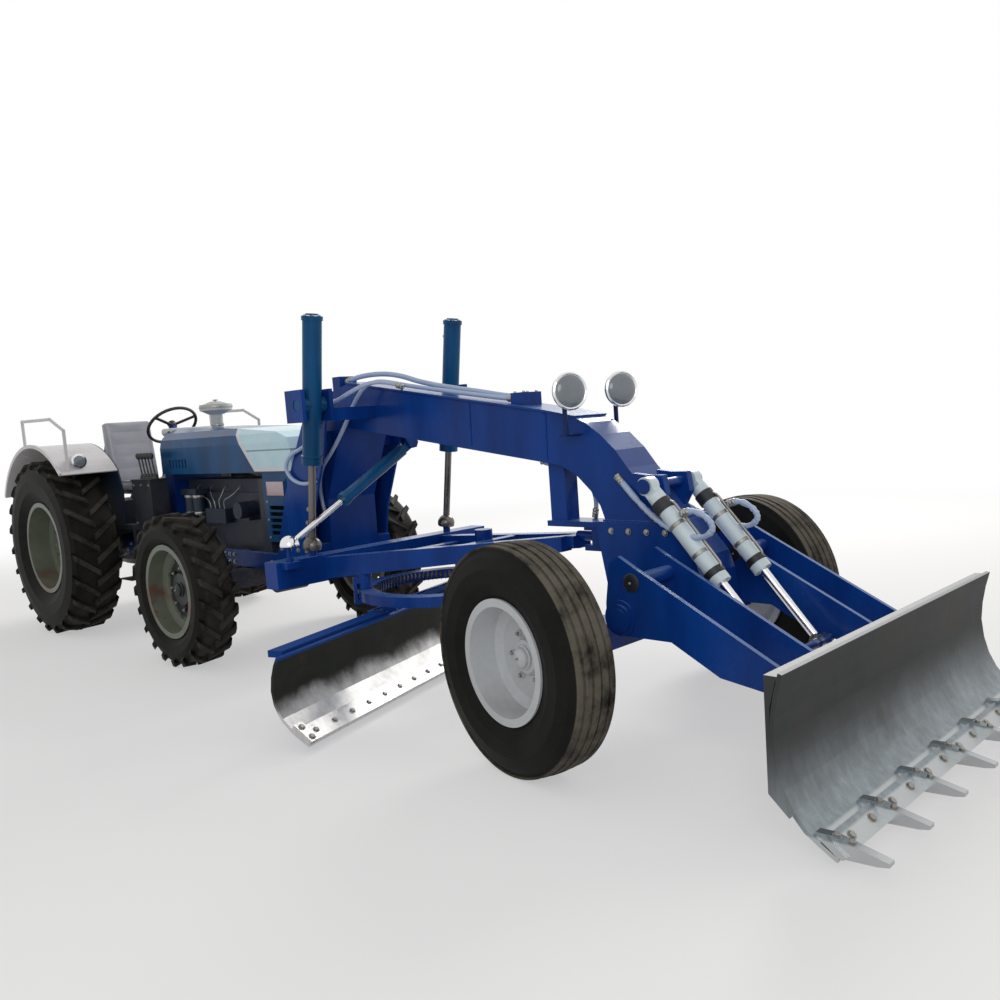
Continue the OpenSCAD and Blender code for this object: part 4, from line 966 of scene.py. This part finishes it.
# %% Lamps
lamps = Kit("lamps", "tractor", chrome, lens, rose_lens, red_lens, black_plastic)
beam_way = Vector((math.cos(math.radians(22)), -math.sin(math.radians(22)), 0))
for side in (-1, 1):
    bowl, lamp_at = (5235, side * 205, 1650), (430, side * 775, 1439.8)
    lamps.turned([(80, 66), (90, 64), (94, 68), (93, 76), (86, 80), (80, 76)], bowl, beam_way, 0, 40)
    lamps.turned([(83, 72), (78, 78), (58, 88), (30, 93), (0, 95)], bowl, beam_way, 1, 40)
    lamps.turned([(50, 120), (58, 118), (60, 122), (58, 128), (52, 130)], lamp_at, FORWARD, 0)
    lamps.turned([(53, 122), (50, 128), (30, 136), (0, 139)], lamp_at, FORWARD, 1)
    lamps.turned([(36, 2), (36, -6), (26, -14), (0, -17)], lamp_at, FORWARD, 3)
    low, high = sorted((side * 302, side * 309))
    lamps.block((2549, low, 1126), (2761, high, 1222), 3, 2)
    low, high = sorted((side * 308, side * 311))
    for x in range(2570, 2750, 16):
        lamps.block((x, low, 1130), (x + 7, high, 1218), 1.2, 2)
lamps.turned([(26, 300), (30, 302), (30, 314), (22, 318), (0, 319)], (2600, 0, 1060), FORWARD, 4, 20)
lamps.ride()

# %% [markdown]
# ## The driver's place
# The seat is the one soft thing on the machine. It starts slightly too small, is rebuilt in even squares
# and then blown up a little by a cloth simulation, with its seams held still, so that the vinyl swells
# between the stitched channels as foam does. Pan, bellows and piping are plain modelled parts.

# %% Seat
PLEATS_X, PLEATS_Z, STITCH = (-70, 30, 130), (1330, 1440, 1550, 1660), 4.5
VOXEL, SWELL_CAP, PRESSURE, FRAMES = 0.0075, 0.014, 4.0, 20


def near(value, lines):
    return min(abs(value - line) for line in lines) < STITCH


def cushion_shape():
    shape = Kit("seat_cushions", None, vinyl)
    shape.block((-164, -222, 1134), (244, 222, 1222), 30)
    outline = [(-282, 1186), (-180, 1163), (-180, 1240), (-258, 1752), (-318, 1744)]
    middle = (sum(p[0] for p in outline) / 5, sum(p[1] for p in outline) / 5)
    rings = []
    for y, size in ((-213, 0.82), (-207, 0.93), (-190, 1), (190, 1), (207, 0.93), (213, 0.82)):
        tall = 1 - (1 - size) * 0.25
        rings.append([place(middle[0] + (x - middle[0]) * size, y, middle[1] + (z - middle[1]) * tall)
                      for x, z in outline])
    shape.rings(rings)
    return shape.ride()


def stitched(spot):
    """True on the seams: the channels of cushion and back, and the parts that rest on something."""
    x, y, z = (spot.x - REAR_AXLE_X) * 1000, abs(spot.y) * 1000, spot.z * 1000
    if x > -172:
        return z < 1142 or (z > 1212 and (near(x, PLEATS_X) or near(y, [170])))
    front = -180 - (z - 1240) * 0.152
    return x < front - 30 or (y < 172 and near(z, PLEATS_Z)) or near(y, [172])


cushions = cushion_shape()
remesh = cushions.modifiers.new("even", "REMESH")
remesh.mode, remesh.voxel_size, remesh.use_smooth_shade = "VOXEL", VOXEL, True
even = evaluated(cushions)
cushions.modifiers.clear()
cushions.data = even
before = [vert.co.copy() for vert in even.vertices]
seams = cushions.vertex_groups.new(name="seams")
seams.add([v.index for v in even.vertices if stitched(v.co)], 1.0, "REPLACE")
cloth = cushions.modifiers.new("foam", "CLOTH")
cloth.settings.quality, cloth.settings.vertex_group_mass = 5, "seams"
cloth.settings.use_pressure, cloth.settings.uniform_pressure_force = True, PRESSURE
cloth.settings.effector_weights.gravity = 0
for step in range(1, FRAMES + 1):
    bpy.context.scene.frame_set(step)
swollen = cushions.evaluated_get(bpy.context.evaluated_depsgraph_get()).data
for vert, old in zip(even.vertices, before):
    move = swollen.vertices[vert.index].co - old
    vert.co = old + move * min(1, SWELL_CAP / max(move.length, 1e-9))
cushions.modifiers.clear()
bpy.context.scene.frame_set(1)
finer = cushions.modifiers.new("finer", "SUBSURF")
finer.levels = finer.render_levels = 1
cushions.data = evaluated(cushions)
cushions.modifiers.clear()
cushions.data.materials.clear()
cushions.data.materials.append(vinyl.material)
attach(cushions, "tractor")
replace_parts(cushions, "seat")
print("cushions", len(cushions.data.polygons))

frame_parts = Kit("seat_frame", "tractor", black_steel, black_plastic, piping)
frame_parts.block((-158, -208, 1112), (236, 208, 1135), 6)
for rise in (0, 4, 8):
    z = 1073 + rise * 3.25
    frame_parts.block((-84 + rise, -124 + rise, z), (164 - rise, 124 - rise, z + 14), 6, 1)
for side in (-1, 1):
    frame_parts.bar([(-120, side * 204, 1122), (-300, side * 204, 1128), (-318, side * 204, 1200),
                     (-352, side * 196, 1500), (-352, side * 150, 1620)], 11)
    frame_parts.bar([(-150, side * 214, 1222), (232, side * 214, 1222)], 4.5, 2, 8)
frame_parts.bar([(-352, -150, 1620), (-352, 150, 1620)], 11)
frame_parts.bar([(234, -205, 1222), (234, 205, 1222)], 4.5, 2, 8)
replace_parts(frame_parts.ride(), "seat")

# %% [markdown]
# ## Controls
# Five ball knobs on rubber gaiters work the grader's valves. A pale quadrant carries three levers beside
# the seat, and a pale cowl in front of the driver has three dials with needles and a row of switches.

# %% Controls
controls = Kit("controls", "tractor", black_plastic, pale_plastic, dial, chrome, red_lens)


def leaned(degrees):
    """The way of a lever or a column that leans back from upright."""
    return -math.sin(math.radians(degrees)), 0, math.cos(math.radians(degrees))


KNOB = [(9, 160), (12, 164), (19.5, 178), (21, 190), (18, 203), (10, 211), (0, 213)]
GAITER = [(24, 0), (24, 6), (20, 10), (18, 18), (20, 22), (16, 26), (14, 34), (8, 38), (7, 42)]
for index in range(5):
    foot = (840 + 58 * index, -400, 1262)
    controls.turned(KNOB, foot, leaned(14), 0, 20)
    controls.turned(GAITER, foot, UP, 0, 20)
controls.block((-320, -372, 1262), (200, -330, 1286), 8, 1)
controls.block((-250, -366, 1280), (150, -336, 1326), 14, 1)
for x, tall, cap in ((-180, 120, 4), (-90, 105, 0), (10, 130, 0)):
    top = (x - 34, -351, 1320 + tall * 0.55)
    controls.bar([(x, -351, 1300), top], 6, 3, 10)
    controls.turned([(8, -6), (15, 4), (17, 20), (12, 32), (0, 36)], top, (-0.3, 0, 1), cap, 16)
for x in (-100, 160):
    controls.bar([(x, -351, 1270), (x, -351, 1070)], 12)
controls.block((826, -204, 1592), (996, 204, 1652), 22, 1)
TO_DRIVER = (-0.97, 0, 0.243)
for y, size in ((-105, 40), (0, 54), (105, 40)):
    face = (880, y, 1520)
    bezel = [(size, -4), (size + 5, 0), (size + 5, 8), (size, 11), (size - 2, 7)]
    controls.turned(bezel, face, TO_DRIVER, 3)
    controls.turned([(size, 4), (size - 3, 8), (0, 9)], face, TO_DRIVER, 2)
    controls.block((862, y - 2, 1514), (872, y + 2, 1514 + size * 0.8), 0.8, 4)
for y in (-150, -110, 110, 150):
    controls.turned([(14, -2), (14, 6), (9, 10), (8, 22), (0, 24)], (858, y, 1432), TO_DRIVER, 0, 16)
controls.turned([(36, 372), (34, 378), (22, 384), (0, 387)], (862, 0, 1420), leaned(42))
controls.ride()

# %% [markdown]
# ## Engine dressing, radiator and cylinder ends
# Injector pipes, two radiator hoses, the radiator's slats and a cap make the open engine read as one. The
# cylinders get gland collars, and each pin of the blade arms a cap with a grease nipple.

# %% Engine and pins
engine = Kit("engine_dressing", "tractor", zinc, black_plastic, alloy)
INJECTOR = [(13, 0), (13, 12), (9, 14), (9, 30), (5, 32), (5, 40), (0, 41)]
for index in range(4):
    x, head = 1545 + 70 * index, 1280 + index * 215
    engine.bar([(x, -205, 1008), (x, -212, 1075), ((x + head) / 2, -196, 1100), (head, -176, 1150),
                (head, -150, 1180), (head, -120, 1190)], 3.6, 0, 8)
    engine.turned(INJECTOR, (head, -112, 1168), UP, 2, 12)
engine.bar([(2180, 70, 1200), (2260, 70, 1225), (2360, 70, 1228), (2492, 70, 1215)], 25, 1, 20)
engine.bar([(2180, -90, 800), (2300, -90, 790), (2494, -90, 850)], 25, 1, 20)
for x, z in ((2205, 1212), (2460, 1219)):
    engine.turned(band(25, 29, -8, 8, 0), (x, 70, z), FORWARD, 0, 24)
for x in (1250, 1380):
    bowl = (x, -215, 960)
    engine.turned(band(46.5, 48.5, 4, 22), bowl, UP, 0, 30)
    engine.turned(band(46.5, 49, 132, 154), bowl, UP, 0, 30)
    engine.turned([(14, -8), (16, 0), (40, 1)], bowl, UP, 0, 12)
engine.turned([(30, 0), (34, 4), (34, 14), (20, 18), (0, 19)], (1300, 262, 880), (0, 1, 0), 0, 24)
for profile, steps in ((band(128, 129, 148, 164), 40), (band(47, 50, 8, 26, 2), 32),
                       ([(10, 198), (10, 206), (22, 208), (22, 214), (8, 216), (0, 217)], 8)):
    engine.turned(profile, (1400, 0, 1634.6), UP, 0, steps)
engine.block((2700, -262, 816), (2790, -236, 1280), 4, 1)
engine.block((2700, 236, 816), (2790, 262, 1280), 4, 1)
engine.block((2690, -262, 1226), (2800, 262, 1284), 10, 1)
engine.grow(SLATS, alloy, From=place(2745, 0, 830), To=place(2745, 0, 1222), Count=46,
            Size=(1.6, 0.49, 0.8), Seed=1)
engine.ride()


def downstroke(rod):
    """The way a cylinder lies, towards its rod's end; the rod's slide may be given either way round."""
    way = next(Vector(joint["axis"]).normalized() for joint in frame["joints"] if joint["child"] == rod)
    return way if way.z < 0 else -way


for side, name in ((-1, "right"), (1, "left")):
    way = downstroke("lift_rod_" + name)
    kit = Kit("lift_gland_" + name, "lift_barrel_" + name, zinc, teal_blue)
    top = place(3560, side * 550, 1700)
    kit.turned(band(56, 66, 300, 318), top, way, 1, 28, True)
    kit.turned([(58, -520), (40, -524), (38, -530), (0, -532)], top, way, 1)
    kit.grow(BOLT_RING, zinc, Centre=top - way * 0.516, Turn=aim(-way, (0, 1, 0)), Radius=0.048, Count=6,
             Size=(0.007,) * 3, Seed=2)
    for along in (-440, 250):
        kit.turned([(15, 50), (17, 58), (17, 72), (11, 74), (11, 88), (0, 89)], top + way * along / 1000,
                   (-0.9, 0, -0.2), 0, 12)
    kit.ride()
    knuckle = Kit("kingpin_" + name, "knuckle_" + name, black_steel, zinc)
    pin = Vector((2.409, side * 0.752, 0.605))
    knuckle.turned([(30, -2), (30, 5), (24, 10), (8, 12), (0, 12.5)], pin)
    knuckle.turned(nipple(10), pin, UP, 1, 10)
    knuckle.ride()
    caps = Kit("arm_pin_" + name, "front_blade", black_steel, zinc)
    for y, out in ((568, side), (270, -side)):
        caps.turned([(42, -1), (42, 4), (36, 8), (0, 9)], (5868, side * y, 800), (0, out, 0))
        caps.turned(nipple(8), (5868, side * y, 800), (0, out, 0), 1, 10)
    caps.ride()
rams = Kit("blade_cylinder_glands", "dozer_barrels", black_steel, zinc, pale_barrel_and_sheen)
way = downstroke("dozer_rods")
rise = way.cross(Vector((0, 1, 0)))
rise = rise if rise.z > 0 else -rise
for side in (-1, 1):
    top = place(5700, side * 180, 1180)
    for outer, start, end, finish in ((50, 500, 533, 0), (48, 96, 154, 0), (44.5, 230, 251, 1),
                                      (44.5, 400, 421, 1)):
        rams.turned(band(41, outer, start, end, 2), top, way, finish, 28, True)
    route = ((130, 46), (150, 58), (200, 58), (480, 58), (505, 56), (515, 46))
    rams.bar([top + way * d / 1000 + rise * h / 1000 for d, h in route], 6, 1, 10)
rams.ride()

# %% [markdown]
# ## Floor, light and sky
# The machine stands on a plain pale floor under one big soft panel, high on its left, with a dim even
# sky for the shade. Mirrors see a white room, but the sky's own light is low, so the dark blue paint
# keeps its depth. The camera sees the same white beyond the floor's shadow.

# %% Floor and light
FLOOR_M, WHITE_FROM, WHITE_AT, SKY_LIGHT = 60, 5.5, 12, 0.48


def mirrored_rays(tree):
    """1 for what the camera, mirrors and glass see, and 0 for light that falls on the machine."""
    rays = tree.nodes.new("ShaderNodeLightPath").outputs
    first, *others = (Wire(tree, rays[f"Is {kind} Ray"]) for kind in ("Camera", "Glossy", "Transmission"))
    return sum(others, first).clip()


floor_mesh = bpy.data.meshes.new("floor")
corners = [(x * FLOOR_M, y * FLOOR_M, 0) for x, y in ((-1, -1), (1, -1), (1, 1), (-1, 1))]
floor_mesh.from_pydata(corners, [], [(0, 1, 2, 3)])
floor = shown("floor", floor_mesh)
ground = Finish("floor", Base_Color=(0.80, 0.79, 0.775), Roughness=0.9, Specular_IOR_Level=0.1)
tree = ground.material.node_tree
far = ground.point.length().step(WHITE_FROM, WHITE_AT)
glow = tree.nodes.new("ShaderNodeEmission")
glow.inputs["Color"].default_value = (1, 1, 1, 1)
mix = tree.nodes.new("ShaderNodeMixShader")
tree.links.new(((far * 0.55 + 0.45) * mirrored_rays(tree)).socket, mix.inputs[0])
tree.links.new(ground.shader.outputs[0], mix.inputs[1])
tree.links.new(glow.outputs[0], mix.inputs[2])
tree.links.new(mix.outputs[0], tree.nodes["Material Output"].inputs["Surface"])
floor_mesh.materials.append(ground.material)

world = bpy.context.scene.world = bpy.data.worlds.new("studio")
world.use_nodes = True
sky = world.node_tree
strength = mirrored_rays(sky) * (1 - SKY_LIGHT) + SKY_LIGHT
sky.links.new(strength.socket, sky.nodes["Background"].inputs["Strength"])
sky.nodes["Background"].inputs["Color"].default_value = (1, 1, 1, 1)


def lamp(name, spot, target, size, power, tone=(1, 1, 1)):
    data = bpy.data.lights.new(name, "AREA")
    data.shape, data.size, data.energy, data.color = "DISK", size, power, tone
    made = shown(name, data)
    made.location = spot
    made.rotation_euler = (Vector(target) - Vector(spot)).to_track_quat("-Z", "Y").to_euler()
    return made


lights = [lamp("key", (-2, 9, 7), (0.5, 0, 0.8), 5, 740, (1, 0.985, 0.96)),
          lamp("fill", (7, -6, 4), (1, 0, 0.8), 4, 120, (0.95, 0.98, 1))]
bpy.context.scene.view_settings.view_transform = "Standard"
